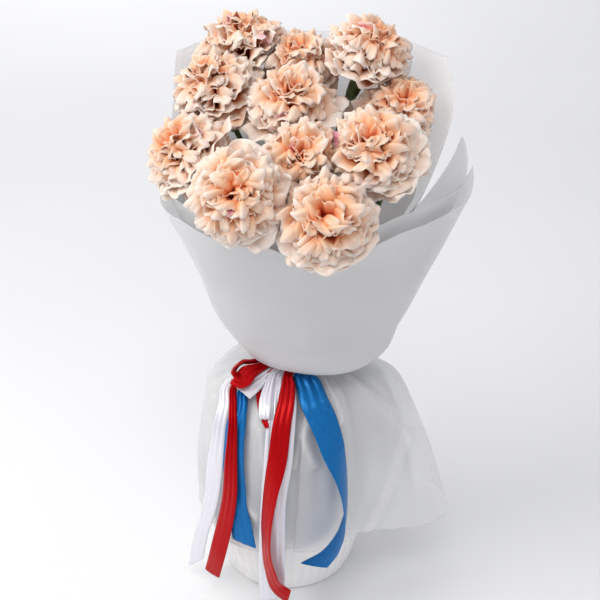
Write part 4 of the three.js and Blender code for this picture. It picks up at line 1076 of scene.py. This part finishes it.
def ribbon_run(stops, across_at, cut=0):
    """A ribbon along a line, with its width laid in the direction that across_at gives. A section narrower
    than the run's widest is a zigzag of PLEATS waves, as deep as keeps the cloth's width, and its edges lie
    a little lower than its middle. The end is cut on a slant."""
    line = spline(stops, RIBBON_POINTS[0])
    middle, width = line[:, :3], line[:, 3:4]
    tangent = unit(np.gradient(middle, axis=0))
    across = across_at(line, tangent)
    normal = np.cross(tangent, across)
    share = np.linspace(-0.5, 0.5, RIBBON_POINTS[1])[None, :]
    depth = np.sqrt(np.maximum(width.max() ** 2 - width**2, 0)) / (4 * PLEATS)
    lift = depth * np.cos(2 * np.pi * PLEATS * share) - 0.05 * width * (2 * share) ** 2
    slant = np.zeros(len(line))
    slant[-CUT_ROWS:] = np.linspace(0, 1, CUT_ROWS)
    points = (middle[:, None] + across[:, None] * (share * width)[..., None]
              + normal[:, None] * lift[..., None]
              + tangent[:, None] * (slant[:, None] * -share * cut)[..., None])
    return surface_of(points, share + 0.5, np.linspace(0, len(stops), len(points))[:, None])


def ribbon_ring(height):
    """The turn round the tie: a band round its axis, drawn in a little at its middle."""
    angle = full_turn(72)[None, :]
    share = np.linspace(-0.5, 0.5, 7)[:, None]
    radius = RING_RADIUS + 0.3 * np.cos(2 * np.pi * share) + 0.15 * np.sin(17 * angle)
    points = np.stack([TIE_AXIS[0] + radius * np.cos(angle), radius * np.sin(angle),
                       height + share * RING_HEIGHT + 0 * angle], axis=-1)
    return surface_of(points, share + 0.5, angle * 2, closed=True)


def ribbon_knot(x, height):
    """The knot: a short band that goes once over the ring and back under it, pinched at its middle."""
    angle = full_turn(36)[None, :]
    share = np.linspace(-0.5, 0.5, 9)[:, None]
    full = 1 - 0.5 * (2 * share) ** 2
    points = np.stack([x + KNOT_LENGTH * share + 0 * angle,
                       -RING_RADIUS - KNOT_OUT - KNOT_DEPTH * full * np.cos(angle),
                       height + KNOT_HEIGHT * full * np.sin(angle)], axis=-1)
    return surface_of(points, share + 0.5, angle, closed=True)


# %% Tie the ribbons
for colour, ribbon in RIBBONS.items():
    runs = [ribbon_run(stops, tail_across, cut) for stops, cut in zip(ribbon["tails"], ribbon["cuts"])]
    runs += [ribbon_run(stops, loop_across) for stops in ribbon["loops"]]
    surface = join(*runs, ribbon_ring(ribbon["ring"]), ribbon_knot(ribbon["knot"], ribbon["ring"]))
    piece = make_piece(f"satin_ribbon_{colour}", surface, SATIN[colour],
                       [f"ribbon_{colour}"])
    thicken(piece, RIBBON_THICKNESS)

# %% [markdown]
# ## Floor and light
#
# The photograph is bright and soft: a large light high on the left, with pale surroundings that fill the
# shadows. A plain pale floor runs far behind the bunch, so it fills the view. A big area light gives the
# soft key, a small one overhead draws the gloss on the satin, one brightens the floor behind the bunch, and
# a pale world fills the rest.

# %% Floor and lights
def floor_material():
    """Pale matt studio floor, with a faint unevenness."""
    material, tree, shader = new_material("studio_floor", Roughness=0.85)
    place = add_node(tree, "ShaderNodeTexCoord").outputs["Object"]
    mottle(tree, shader, place, 1.5, stops=[(0.3, "#f0f0f2"), (0.7, "#f4f4f5")])
    return material


FLOOR_REACH = 6.0  # metres from the middle to each side
floor_mesh = bpy.data.meshes.new("studio_floor")
floor_mesh.from_pydata([(-FLOOR_REACH, -FLOOR_REACH, 0), (FLOOR_REACH, -FLOOR_REACH, 0),
                        (FLOOR_REACH, FLOOR_REACH, 0), (-FLOOR_REACH, FLOOR_REACH, 0)], [], [(0, 1, 2, 3)])
floor_mesh.materials.append(floor_material())
floor = bpy.data.objects.new("studio_floor", floor_mesh)
bpy.context.scene.collection.objects.link(floor)


def area_light(name, place, aim, size, watts, colour):
    """A square soft light at a place, turned to face a point."""
    data = bpy.data.lights.new(name, "AREA")
    data.size = size
    data.energy = watts
    data.color = linear(colour)[:3]
    light = bpy.data.objects.new(name, data)
    light.location = place
    light.rotation_euler = (Vector(aim) - Vector(place)).to_track_quat("-Z", "Y").to_euler()
    bpy.context.scene.collection.objects.link(light)


area_light("key_light", (-0.95, -0.35, 1.25), (0, 0, 0.25), 0.9, 10.4, "#fffdf9")
area_light("top_light", (-0.05, -0.75, 1.6), (0, 0, 0.25), 0.5, 4, "#ffffff")
area_light("back_light", (-0.5, 2.6, 1.5), (-0.4, 2.4, 0), 1.5, 14, "#ffffff")

world = bpy.data.worlds.new("studio_world")
world.use_nodes = True
background = world.node_tree.nodes["Background"]
background.inputs["Color"].default_value = linear("#f4f5f8")
background.inputs["Strength"].default_value = 0.68
bpy.context.scene.world = world
bpy.context.scene.view_settings.view_transform = "Standard"
print("floor, three lights and a pale world")
